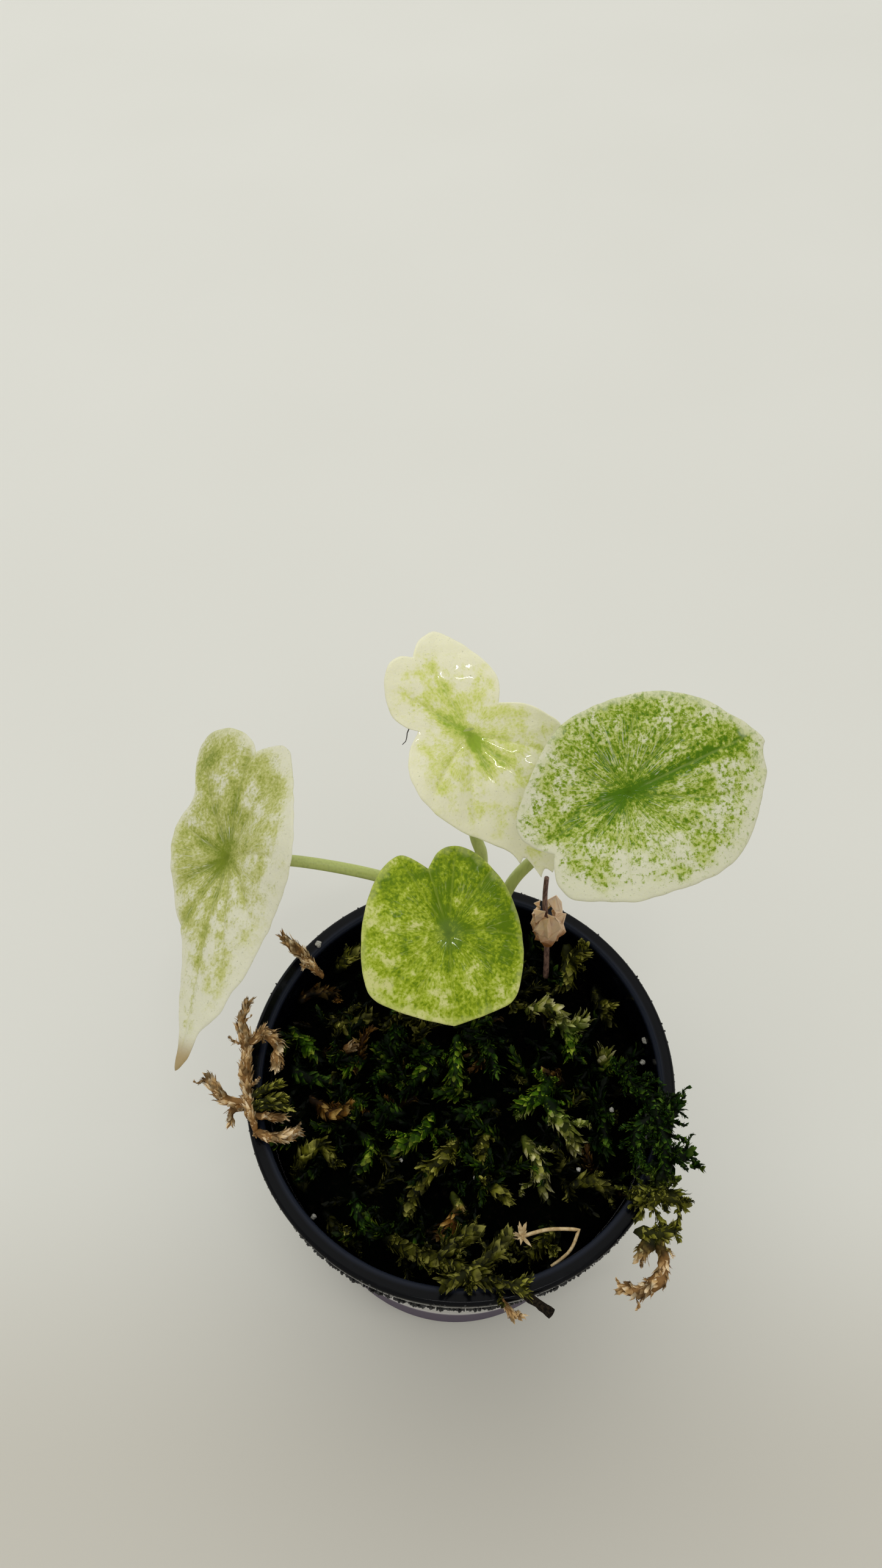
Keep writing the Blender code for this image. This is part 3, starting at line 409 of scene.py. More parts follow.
# Below the skirt at grazing angles: a white mirror high up, and low down a painted reflection of the shaded
# floor
grazing = tree.node("ShaderNodeLayerWeight", None, {"Blend": 0.5}, output="Facing")
grazing_reflection = tree.step(high, skirt_foot - SKIRT_SHADE, skirt_foot, 1.0, 0.0) * tree.step(grazing, 0.7, 0.88)
mirror = tree.step(high, *MIRROR_HEIGHTS)
painted_and_mirror_reflection = tree.blend(mirror, srgb(92, 84, 98), srgb(244, 241, 242))
tree.feed(shader["Base Color"], tree.blend(grazing_reflection, black, painted_and_mirror_reflection))
tree.feed(shader["Metallic"], grazing_reflection * mirror)
dull = grazing_reflection * (1.0 - mirror)
tree.feed(shader["Roughness"], 0.1 + (dust * 0.2 + smears * 0.12) * (1.0 - grazing_reflection) + dull * 0.8)
tree.feed(shader["Normal"], tree.bump(tree.noise(place, 0.8, 3.0), 0.01))

pot = grow("pot_shell", turned_start("pot_profile", pot_profile), turned_group, {
    "Sides": POT_SIDES, "Finish": pot_finish,
})
pot_mesh = pot.data
bpy.data.objects.remove(pot)
pot = grow("pot_shell", pot_mesh, drilled_group, {
    "Holes": DRAIN_COUNT, "Hole radius": DRAIN_RADIUS * mm, "Circle": DRAIN_CIRCLE * mm, "Finish": pot_finish,
}, sharp=35)
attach(pot, "root")
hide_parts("pot")

# Dirt on the rim. Crumbs of damp mix stick along the foot of the skirt, where the pot was lifted and wiped,
# and a few lie on the lip. Each crumb is an uneven lump well under a millimetre.
CRUMB_PITCH = 0.27
CRUMB_SIZES = (0.2, 0.95)
LIP_CRUMB_PITCH = 0.8
LIP_CRUMB_SIZES = (0.15, 0.6)
CRUMB_STRAY = ((-0.2, -0.2, -0.3), (0.2, 0.2, 0.5))
CRUMBS_KEPT = 0.72
STRAY_SEED = 4
KEPT_SEED = 9
TURN_SEED = 2
SIZE_SEED = 7
FULL_TURN = 6.28
# How far the crumbs' lines stand off the skirt and over its foot, and inside the lip's edge
CRUMB_STAND_OFF = 0.05
CRUMB_RISES = (0.3, 0.7)
LIP_CRUMB_INSET = 0.15


def random_number(recipe, low, high, seed):
    sockets = {2: low, 3: high, "Seed": seed}
    return recipe.node("FunctionNodeRandomValue", {"data_type": "FLOAT"}, sockets, output=1)


def random_push(recipe, where, scale, detail=2.0):
    """A push in any direction that changes from place to place, half a unit at most along each axis."""
    sockets = {"Vector": where, "Scale": scale, "Detail": detail}
    cloud = recipe.node("ShaderNodeTexNoise", None, sockets, output="Color")
    return recipe.node("ShaderNodeVectorMath", {"operation": "SUBTRACT"}, {0: cloud, 1: (0.5, 0.5, 0.5)})


crumbs_group, recipe, given = new_recipe("crumbs", {
    "Pitch": "Float", "Smallest": "Float", "Largest": "Float",
})
path = recipe.node("GeometryNodeMeshToCurve", None, {0: given["Geometry"]})
spots = recipe.node("GeometryNodeCurveToPoints", {"mode": "LENGTH"}, {0: path, "Length": given["Pitch"]})
stray_low, stray_high = (tuple(value * mm for value in corner) for corner in CRUMB_STRAY)
stray = recipe.node("FunctionNodeRandomValue", {"data_type": "FLOAT_VECTOR"}, {
    0: stray_low, 1: stray_high, "Seed": STRAY_SEED,
})
spots = recipe.node("GeometryNodeSetPosition", None, {"Geometry": spots, "Offset": stray})
lump = recipe.node("GeometryNodeMeshIcoSphere", None, {"Radius": 0.5, "Subdivisions": 1})
where = recipe.node("GeometryNodeInputPosition")
dents = random_push(recipe, where, 2.2)
lump = recipe.node("GeometryNodeSetPosition", None, {"Geometry": lump, "Offset": dents})
kept = recipe.node("FunctionNodeRandomValue", {"data_type": "BOOLEAN"}, {
    "Probability": CRUMBS_KEPT, "Seed": KEPT_SEED,
}, output=3)
turn = recipe.node("FunctionNodeRandomValue", {"data_type": "FLOAT_VECTOR"}, {
    1: (FULL_TURN, FULL_TURN, FULL_TURN), "Seed": TURN_SEED,
})
size = random_number(recipe, given["Smallest"], given["Largest"], SIZE_SEED)
crumbs = recipe.node("GeometryNodeInstanceOnPoints", None, {
    "Points": spots, "Selection": kept, "Instance": lump,
    "Rotation": recipe.node("FunctionNodeEulerToRotation", None, {0: turn}), "Scale": size,
})
end_recipe(recipe, crumbs, given["Finish"])

crumb_finish, tree, shader = new_finish("damp_crumb", {"Roughness": 0.55})
specks = tree.noise(tree.place(), 1.1, 2.0)
tree.feed(shader["Base Color"], tree.tones(specks, 0.5, 0.72, (12, 13, 14), (62, 62, 60)))


def rim_line(radius, height, start=0, end=360):
    """Points round the pot at a radius and a height, between two angles in degrees."""
    steps = range(0, end - start + 1, 3)
    angles = [math.radians(start + step) for step in steps]
    return [(radius * math.cos(angle), radius * math.sin(angle), height) for angle in angles]


crumb_radius = RIM_RADIUS - SKIRT_TAPER + CRUMB_STAND_OFF
crumb_lines = [
    rim_line(crumb_radius, skirt_foot + CRUMB_RISES[0]),
    rim_line(crumb_radius, skirt_foot + CRUMB_RISES[1], 180, 360),
]
crumbs = grow("rim_crumbs", polyline("crumb_lines", crumb_lines), crumbs_group, {
    "Pitch": CRUMB_PITCH * mm, "Smallest": CRUMB_SIZES[0] * mm, "Largest": CRUMB_SIZES[1] * mm,
    "Finish": crumb_finish,
}, sharp=60)
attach(crumbs, "root")
lip_line = [rim_line(RIM_RADIUS - LIP_CRUMB_INSET, POT_HEIGHT - LIP_OUTER_ROUND)]
lip_crumbs = grow("lip_crumbs", polyline("lip_line", lip_line), crumbs_group, {
    "Pitch": LIP_CRUMB_PITCH * mm, "Smallest": LIP_CRUMB_SIZES[0] * mm, "Largest": LIP_CRUMB_SIZES[1] * mm,
    "Finish": crumb_finish,
}, sharp=60)
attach(lip_crumbs, "root")

# Potting mix. Loose damp bark and peat that fills the pot to about a finger's width below the lip. Its top is
# uneven, slopes a little down to the right and drops along the wall, and the crown stands sunk in it.
MIX_LEVEL = 74.0
MIX_SLOPE_X = -0.045
MIX_SLOPE_Y = 0.035
MIX_LUMP = 0.9
MIX_LUMP_PITCHES = (3.6, 4.0, 5.5)
MIX_EDGE_DROP = 2.5
MIX_SIDE_GAP = 0.5
MIX_AROUND = 144
MIX_RINGS = 44
# Clods and chips on its top: how many fit in a millimetre, and how high they stand over a slightly lower bed
CLOD_PITCH = 0.55
CLOD_HEIGHT = 0.9
CHIP_PITCH = 1.6
CHIP_HEIGHT = 0.5
MIX_BED = 0.5


def mix_top(x, y):
    """Height of the potting mix: sloped, lumpy, and lower along the wall."""
    across, along, aslant = MIX_LUMP_PITCHES
    lumps = math.sin(x / across + 1.0) * math.cos(y / along)
    lumps += 0.6 * math.sin((x + 1.4 * y) / aslant)
    edge = (math.hypot(x, y) / inner_radius(MIX_LEVEL)) ** 6
    return MIX_LEVEL + MIX_SLOPE_X * x + MIX_SLOPE_Y * y + MIX_LUMP * lumps - MIX_EDGE_DROP * edge


def ring_mesh(name, rings, low_pole, high_pole):
    """A closed mesh through rings of points, lowest first, with a pole under the first and over the last."""
    around = len(rings[0])
    points = [low_pole, *(point for ring in rings for point in ring), high_pole]
    last = len(points) - 1
    faces = []
    for index in range(around):
        beside = (index + 1) % around
        faces.append((0, 1 + beside, 1 + index))
        faces.append((last, last - around + index, last - around + beside))
        for ring in range(len(rings) - 1):
            low = 1 + ring * around
            faces.append((low + index, low + beside, low + around + beside, low + around + index))
    mesh = bpy.data.meshes.new(name)
    mesh.from_pydata([Vector(point) * mm for point in points], [], faces)
    return mesh


def mix_ring(radius, height=None):
    """A ring of points, at one height or on the rough top of the mix."""
    ring = []
    for index in range(MIX_AROUND):
        angle = 2 * math.pi * index / MIX_AROUND
        x = radius * math.cos(angle)
        y = radius * math.sin(angle)
        if height is not None:
            ring.append((x, y, height))
            continue
        rough = noise.fractal(Vector((x, y, 0)) * CLOD_PITCH, 0.8, 2.0, 4) * CLOD_HEIGHT
        rough += abs(noise.noise(Vector((x, y, 3)) * CHIP_PITCH)) * CHIP_HEIGHT
        ring.append((x, y, mix_top(x, y) - MIX_BED + rough))
    return ring


mix_foot = FLOOR + MIX_SIDE_GAP
mix_bottom = inner_radius(mix_foot) - MIX_SIDE_GAP
mix_outer = inner_radius(MIX_LEVEL) - MIX_SIDE_GAP
mix_rings = [mix_ring(mix_bottom - BASE_EDGE, mix_foot), mix_ring(mix_bottom, mix_foot + BASE_EDGE)]
mix_rings += [mix_ring(mix_outer * share / MIX_RINGS) for share in range(MIX_RINGS, 0, -1)]
mix_mesh = ring_mesh("mix", mix_rings, (0, 0, mix_foot), (0, 0, mix_top(0, 0)))

mix_finish, tree, shader = new_finish("damp_bark", {"Roughness": 1.0, "Specular IOR Level": 0.0})
place = tree.place()
chips = tree.noise(place, 1.3, 4.0, 0.7)
damp = tree.step(tree.noise(place, 9.0), 0.35, 0.65)
bark = tree.tones(chips, 0.5, 0.78, (2, 2, 2), (18, 14, 9))
tree.feed(shader["Base Color"], tree.blend(damp * 0.5, bark, srgb(3, 6, 2)))
tree.feed(shader["Normal"], tree.bump(chips, 0.5))

mix = new_object("mix", mix_mesh)
mix_mesh.materials.append(mix_finish)
mix_mesh.shade_smooth()
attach(mix, "root")
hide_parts("potting_mix")

# Crown and petioles. The leaves share one short thick crown, sunk in the mix. Each petiole is a smooth solid
# green stem that wraps the crown with its foot, bends over on its way and widens a little under its blade.
CROWN = (2.0, 26.0)
CROWN_RADIUS = 4.3
CROWN_FOOT = 63.0
CROWN_TOP = 79.5
PETIOLE_BASE_RADIUS = 1.35
PETIOLE_TOP_RADIUS = 1.12
PETIOLE_STEP = 0.8
PETIOLE_SINK = 1.0
PETIOLE_STRAIGHT_END = 5.0
BLADE_THICKNESS = 0.46
# Each petiole's foot in the crown as x and y, then the points that it passes on its way up
PETIOLES = {
    "front": ((1.4, 23.6), (0.2, 24.4, 95.0), (-1.8, 20.0, 111.0)),
    "left": (
        (-0.4, 26.4), (-2.6, 27.0, 94.0), (-8.0, 28.2, 107.0), (-17.1, 28.8, 114.0), (-33.6, 29.8, 118.0),
    ),
    "back": ((2.2, 28.6), (2.9, 30.2, 96.0), (3.6, 32.2, 115.0), (1.8, 34.8, 123.0)),
    "right": (
        (4.6, 25.4), (7.0, 28.0, 93.0), (9.6, 30.6, 107.0), (14.2, 31.2, 118.0), (21.0, 30.0, 133.0),
    ),
}
# Where each blade sits on its petiole, which way its tip points and which way its face looks
BLADE_POSES = {
    "front": ((-3.1, 10.4, 126.0), (0.08, -1.0, -0.4), (0.03, -0.40, 0.92)),
    "right": ((27.3, 25.8, 150.0), (1.0, 0.28, -0.1), (0.02, -0.42, 0.90)),
    "back": ((0.3, 39.0, 148.0), (0.35, -0.7, -0.5), (0.12, -0.52, 0.85)),
    "left": ((-45.5, 27.0, 124.0), (-0.15, -0.85, -0.35), (-0.55, -0.22, 0.80)),
}

crown_profile = [
    (AXIS_GAP, CROWN_FOOT),
    *arc(CROWN_RADIUS * 0.5, CROWN_FOOT + 2, 2, -90, 0),
    (CROWN_RADIUS, CROWN_FOOT + 8),
    (CROWN_RADIUS * 0.97, CROWN_TOP - 4),
    *arc(CROWN_RADIUS * 0.92 - 1.5, CROWN_TOP - 1.5, 1.5, 0, 90),
    (AXIS_GAP, CROWN_TOP),
]


def smooth_path(recipe, given, step):
    """A smooth curve through the starting points, with new points a step apart along it."""
    path = recipe.node("GeometryNodeMeshToCurve", None, {0: given["Geometry"]})
    path = recipe.node("GeometryNodeCurveSplineType", {"spline_type": "CATMULL_ROM"}, {0: path})
    return recipe.node("GeometryNodeResampleCurve", {"mode": "LENGTH"}, {0: path, "Length": step * mm})


stem_group, recipe, given = new_recipe("stem", {
    "Foot radius": "Float", "Top radius": "Float", "Flare": "Float",
})
path = smooth_path(recipe, given, PETIOLE_STEP)
share = recipe.node("GeometryNodeSplineParameter")
radius = given["Foot radius"] + (given["Top radius"] - given["Foot radius"]) * share
radius = radius * (1.0 + given["Flare"] * recipe.step(share, 0.0, 0.22, 0.55, 0.0))
radius = radius * (1.0 + given["Flare"] * recipe.step(share, 0.95, 1.0, 0.0, 0.35))
circle = recipe.node("GeometryNodeCurvePrimitiveCircle", None, {"Resolution": 20, "Radius": 1.0})
stem = recipe.node("GeometryNodeCurveToMesh", None, {0: path, 1: circle, "Scale": radius, "Fill Caps": True})
end_recipe(recipe, stem, given["Finish"])

petiole_finish, tree, shader = new_finish("petiole_skin", {
    "Roughness": 0.38, "Subsurface Weight": 0.15, "Subsurface Radius": (0.6, 1.0, 0.2),
    "Subsurface Scale": 1.0 * mm,
})
place = tree.place()
high = tree.axis(place, "Z")
skin = tree.tones(high, 82.0, 118.0, (122, 136, 54), (188, 198, 116))
streaks = tree.noise(tree.stretched(place, (3.0, 3.0, 0.25)), 1.4, 3.0)
tree.feed(shader["Base Color"], tree.blend(tree.step(streaks, 0.4, 0.75) * 0.2, skin, srgb(92, 112, 44)))
tree.feed(shader["Normal"], tree.bump(streaks, 0.03))

crown = grow("crown_stem", turned_start("crown_profile", crown_profile), turned_group, {
    "Sides": 40, "Finish": petiole_finish,
}, sharp=50)
for vertex in crown.data.vertices:
    vertex.co += Vector((*CROWN, 0)) * mm
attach(crown, "root")
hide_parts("crown")

for name, (foot, *bends) in PETIOLES.items():
    at, _, facing = BLADE_POSES[name]
    normal = Vector(facing).normalized()
    top = Vector(at) - normal * BLADE_THICKNESS / 2
    route = [(*foot, CROWN_TOP - PETIOLE_SINK), *bends, top - normal * PETIOLE_STRAIGHT_END, top]
    petiole = grow(f"stem_{name}", polyline(name, [route]), stem_group, {
        "Foot radius": PETIOLE_BASE_RADIUS * mm, "Top radius": PETIOLE_TOP_RADIUS * mm, "Flare": 1.0,
        "Finish": petiole_finish,
    }, sharp=60)
    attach(petiole, "root")
    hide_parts(f"petiole_{name}")

# Leaf blades. Each is one thin living skin, cupped over its petiole and waved along its edge, with its main
# veins pressed in on top. The white parts hold no green at all, so the light comes through them.
BLADE_STEP = 0.55
BLADE_RINGS = 46
# A blade is drawn flat, in millimetres from its petiole: the first number of a point runs to the tip and the
# second to the blade's left. A point given twice in a row is a sharp corner. Its bends are heights: a fold
# along the midrib, the droop of the tip, the lobes and the sides, the dimple over the petiole, and waves that
# grow towards the edge. A vein is its angle from the tip in degrees, how far it runs, how much it curves to
# the tip, and how strongly the green gathers round it.
BLADES = {
    "front": {
        "outline": (
            (-12, -3), (-12, -3), (-14.8, -7.5), (-13.2, -10.8), (-9.5, -13.3), (-4.5, -15.1),
            (1, -16), (6.5, -15.9), (10.5, -14.6), (13, -10.5), (15, -5.5),
            (16.5, 0), (16.5, 0), (14.8, 6), (12.5, 11), (8, 12.8), (3, 13.4),
            (-2, 12.9), (-7, 11.4), (-11, 9), (-14.5, 5.6), (-16, 2), (-15, -1),
        ),
        "bends": {"fold": 0.16, "tip": 0.014, "lobes": 0.006, "sides": 0.016, "dimple": (1.8, 5.0)},
        "waves": (0.5, 3, 0.6, 15.0),
        "veins": (
            (0, 17, 0, 0.35), (-166, 12, 0, 1.0), (-150, 16, 0, 0.55), (172, 15, 0, 0.6),
            (150, 14, 8, 0.35), (100, 13, 16, 0.45), (62, 14, 14, 0.3), (34, 16, 8, 0.3),
            (-62, 16, -14, 0.1), (-105, 15, -16, 0.35), (-34, 15, -8, 0.15),
        ),
    },
    "right": {
        "outline": (
            (-14.8, -8), (-14.8, -8), (-17.5, -6.5), (-19.5, -4.3), (-20, -1.5), (-18.3, 2.2), (-15, 7.3),
            (-10, 12.8), (-4, 15.3), (2.5, 16.5), (9, 16.2), (15.5, 13.7), (20, 10), (23.8, 6.6),
            (25.4, 4.2), (25.4, 4.2), (24.6, 2.2), (24.8, -0.8), (23.2, -4.2), (20.8, -9), (17.8, -13.2),
            (13.5, -16), (8.5, -17.4), (3, -18.1), (-3, -18.5), (-8.5, -17.4), (-13, -16.2),
            (-15.2, -13.5), (-15.3, -10.5),
        ),
        "bends": {"fold": 0.12, "tip": 0.007, "lobes": 0.006, "sides": 0.010, "dimple": (2.6, 6.5)},
        "waves": (1.0, 3, 0.5, 20.0),
        "veins": (
            (14, 22, 0, 1.0), (-178, 13, -14, 0.9), (-134, 12, 8, 0.6), (-160, 19, 0, 0.55),
            (54, 16, 18, 0.35), (88, 14, 16, 0.3), (122, 12, 10, 0.4), (152, 13, 6, 0.2),
            (-22, 19, -10, 0.4), (-52, 15, -14, 0.35), (-84, 15, -14, 0.05), (-110, 16, -8, 0.1),
        ),
    },
    "back": {
        "outline": (
            (-16.6, -4.6), (-16.6, -4.6), (-17.6, -7.2), (-16.3, -9.8), (-12.5, -11.6), (-8.3, -12),
            (-5.6, -10.6), (-4, -8.6), (-4, -8.6), (-1, -11.6), (2.5, -13), (6.3, -12.9), (10.5, -11.3),
            (15, -8.2), (18.5, -4.6), (22.4, -0.8), (25.2, 0.3), (25.2, 0.3), (24.4, 1.5), (28.6, 2.9),
            (28.6, 2.9), (27.5, 4), (28.6, 5), (28.6, 5), (26.6, 6.2), (24.6, 7.8), (20.5, 10.6),
            (15.4, 13.8), (9.3, 16), (4.8, 16.2), (1, 13.8), (-1.8, 10.8), (-3.6, 6.8), (-3.6, 6.8),
            (-6.3, 8), (-9.4, 8.1), (-13.4, 6.5), (-17.6, 3.6), (-19.8, 0.8), (-19, -2.5),
        ),
        "bends": {"fold": 0.14, "tip": 0.006, "lobes": 0.006, "sides": 0.004, "dimple": (1.4, 6.0)},
        "waves": (1.6, 4, 0.0, 20.0),
        "veins": (
            (6, 8, 0, 1.0), (30, 16, 0, 0.7), (-142, 12, 0, 0.8), (-172, 15, 0, 0.45), (62, 14, 6, 0.3),
            (-62, 12, -8, 0.1), (-24, 15, -6, 0.2),
        ),
    },
    "left": {
        "outline": (
            (-20.9, 2.2), (-20.9, 2.2), (-23.4, 0.2), (-25.3, -4), (-25.3, -8), (-24.2, -13),
            (-21.2, -14.8), (-16.2, -13.2), (-11.5, -11.3), (-5.3, -13.3), (0, -12.3), (6.2, -10.5),
            (11.5, -8.6), (17.5, -5), (23, -3.1), (28, -1.9), (32, -0.4), (35.4, 0.9),
            (40, 1.9), (40, 1.9), (37.4, 5), (33, 6.4), (29, 9.6), (25, 11.2), (20.4, 13.2), (15, 14.8),
            (7.3, 18), (0.4, 20.4), (-6.6, 18.6), (-15.6, 13), (-21.8, 9), (-22.4, 6),
        ),
        "bends": {"fold": 0.16, "tip": 0.003, "lobes": 0.006, "sides": 0.006, "dimple": (2.6, 6.0)},
        "waves": (1.4, 4, 1.0, 20.0),
        "veins": (
            (4, 36, 0, 0.45), (-20, 18, 6, 0.7), (-60, 12, -8, 0.6), (-110, 12, 4, 0.6),
            (-150, 18, 0, 0.35), (178, 20, 0, 0.5), (150, 18, 0, 0.2), (60, 14, 14, 0.3),
            (100, 15, 10, 0.1), (28, 22, 8, 0.35),
        ),
    },
}
# A vein's groove, how far green gathers beside it, the leaf's swelling between veins, and its fine ripple
VEIN_DEPTH = 0.24
VEIN_WIDTH = 0.5
VEIN_GLOW = 1.35
QUILT_RISE = 0.22
QUILT_WIDTH = 2.0
RIPPLE = 0.07
# How much of the radius the ragged edge takes, where the edge starts to round off, over which share of the
# radius, and what is left of the thickness at its very end
NIBBLE = 0.012
EDGE_START = 0.975
EDGE_ROUND = 0.025
EDGE_LEFT = 0.12


def outline_points(corners, step):
    """Points about a step apart round a closed outline, smooth except where a point is given twice."""
    corners = [Vector(corner) for corner in corners]
    total = len(corners)
    outline = []
    for index in range(total):
        before, start, end, after = (corners[(index + shift) % total] for shift in (-1, 0, 1, 2))
        if start == end:
            continue
        count = max(1, round((end - start).length / step))
        for part in range(count):
            t = part / count
            outline.append(0.5 * (
                start * 2 + (end - before) * t + (before * 2 - start * 5 + end * 4 - after) * t**2
                + (start * 3 - before - end * 3 + after) * t**3
            ))
    return outline


class Blade:
    """The middle surface of one leaf blade, bent from its flat drawing by formulas on arrays of places."""

    def __init__(self, name):
        self.drawn = BLADES[name]
        at, tip, facing = BLADE_POSES[name]
        self.at = np.array(at)
        self.normal = np.array(Vector(facing).normalized())
        tip = np.array(tip)
        along = tip - self.normal * tip.dot(self.normal)
        self.along = along / np.linalg.norm(along)
        self.across = np.cross(self.normal, self.along)

    def nearest_vein(self, u, v):
        """Distance to the nearest main vein, and how much green it gathers."""
        away = np.hypot(u, v)
        angle = np.degrees(np.arctan2(v, u))
        nearest = np.full(u.shape, 50.0)
        green = np.zeros(u.shape)
        for direction, reach, curve, strength in self.drawn["veins"]:
            bearing = direction - curve * (away / reach)
            apart = (angle - bearing + 180) % 360 - 180
            distance = np.radians(np.abs(apart)) * away + 0.9 * np.maximum(away - reach, 0)
            nearest = np.minimum(nearest, distance)
            fade = np.clip(1.4 - away / reach, 0, 1)
            green = np.maximum(green, strength * fade * np.exp(-((distance / VEIN_GLOW) ** 2)))
        return nearest, green

    def height(self, u, v):
        bends = self.drawn["bends"]
        amount, count, phase, reach = self.drawn["waves"]
        depth, width = bends["dimple"]
        away = u * u + v * v
        height = bends["fold"] * (np.sqrt(v * v + 4.0) - 2.0)
        height -= bends["tip"] * np.maximum(u, 0) ** 2 + bends["lobes"] * np.minimum(u, 0) ** 2
        height -= bends["sides"] * v * v
        height += depth * (1.0 - np.exp(-away / (2 * width * width)))
        height += amount * away / reach**2 * np.sin(count * np.arctan2(v, u) + phase)
        nearest, _ = self.nearest_vein(u, v)
        height -= VEIN_DEPTH * np.exp(-((nearest / VEIN_WIDTH) ** 2)) * np.clip(away / 16, 0, 1)
        height -= QUILT_RISE * np.exp(-((nearest / QUILT_WIDTH) ** 2)) * np.clip(away / 50, 0, 1)
        ripple = RIPPLE * np.sin(1.3 * u + 0.6 * v + phase) * np.sin(1.1 * v - 0.5 * u)
        return height + ripple * np.clip(away / 60, 0, 1)

    def points(self, u, v, lift):
        """Places on the blade, moved off its middle surface by a lift along the local normal."""
        small = 0.05
        slope_u = (self.height(u + small, v) - self.height(u - small, v)) / (2 * small)
        slope_v = (self.height(u, v + small) - self.height(u, v - small)) / (2 * small)
        tilted = self.normal - self.along * slope_u[:, None] - self.across * slope_v[:, None]
        tilted /= np.linalg.norm(tilted, axis=1)[:, None]
        flat = self.at + self.along * u[:, None] + self.across * v[:, None]
        return flat + self.normal * self.height(u, v)[:, None] + tilted * lift[:, None]


def blade_object(name, ragged):
    """A blade as a closed skin with a rounded edge, whose points know where they lie on the leaf."""
    outline = outline_points(BLADES[name]["outline"], BLADE_STEP)
    area = sum(a.x * b.y - b.x * a.y for a, b in zip(outline, [*outline[1:], outline[0]]))
    if area < 0:
        outline.reverse()
    around = len(outline)
    rim = np.array([tuple(point) for point in outline])
    turns = np.arange(around) / around * 2 * np.pi
    nibbles = np.array([noise.noise((math.cos(t) * 9, math.sin(t) * 9, ragged)) for t in turns])
    rim = rim * (1 + NIBBLE * ragged * nibbles)[:, None]
    shares = np.linspace(0, 1, BLADE_RINGS + 1)[1:] ** 0.8
    half = BLADE_THICKNESS / 2
    sides = []
    for side in (1, -1):
        places = [rim * share for share in shares]
        rounded = np.sqrt(np.clip(1 - ((shares - EDGE_START) / EDGE_ROUND).clip(0, 1) ** 2, 0, 1))
        lifts = [np.full(around, side * half * max(lift, EDGE_LEFT)) for lift in rounded]
        sides.append((np.concatenate([[[0.0, 0.0]], *places]), np.concatenate([[side * half], *lifts])))
    flat = np.concatenate([places for places, _ in sides])
    lift = np.concatenate([lifts for _, lifts in sides])
    blade = Blade(name)
    points = blade.points(flat[:, 0], flat[:, 1], lift) * mm
    under = len(points) // 2
    faces = []
    for index in range(around):
        beside = (index + 1) % around
        faces.append((0, 1 + index, 1 + beside))
        faces.append((under, under + 1 + beside, under + 1 + index))
        for ring in range(BLADE_RINGS - 1):
            inner = 1 + ring * around
            outer = inner + around
            face = (inner + index, outer + index, outer + beside, inner + beside)
            faces.append(face)
            faces.append(tuple(under + corner for corner in reversed(face)))
        edge = 1 + (BLADE_RINGS - 1) * around
        faces.append((edge + index, under + edge + index, under + edge + beside, edge + beside))
    mesh = bpy.data.meshes.new(name)
    mesh.from_pydata(points.tolist(), [], faces)
    mesh.shade_smooth()
    place = np.column_stack([flat, np.zeros(len(flat))])
    mesh.attributes.new("place", "FLOAT_VECTOR", "POINT").data.foreach_set("vector", place.ravel())
    nearest, green = blade.nearest_vein(flat[:, 0], flat[:, 1])
    share = np.concatenate([[0.0], np.repeat(shares, around)])
    for title, values in (("vein", nearest), ("green", green), ("edge", np.tile(share, 2))):
        mesh.attributes.new(title, "FLOAT", "POINT").data.foreach_set("value", values.astype(np.float32))
    return new_object(f"leaf_{name}", mesh)


# How closely the streaks that run out from the petiole are set, and a place past any tip, for a leaf that is
# green to its end
SPOKES = 9.0
PAST_THE_TIP = 99.0


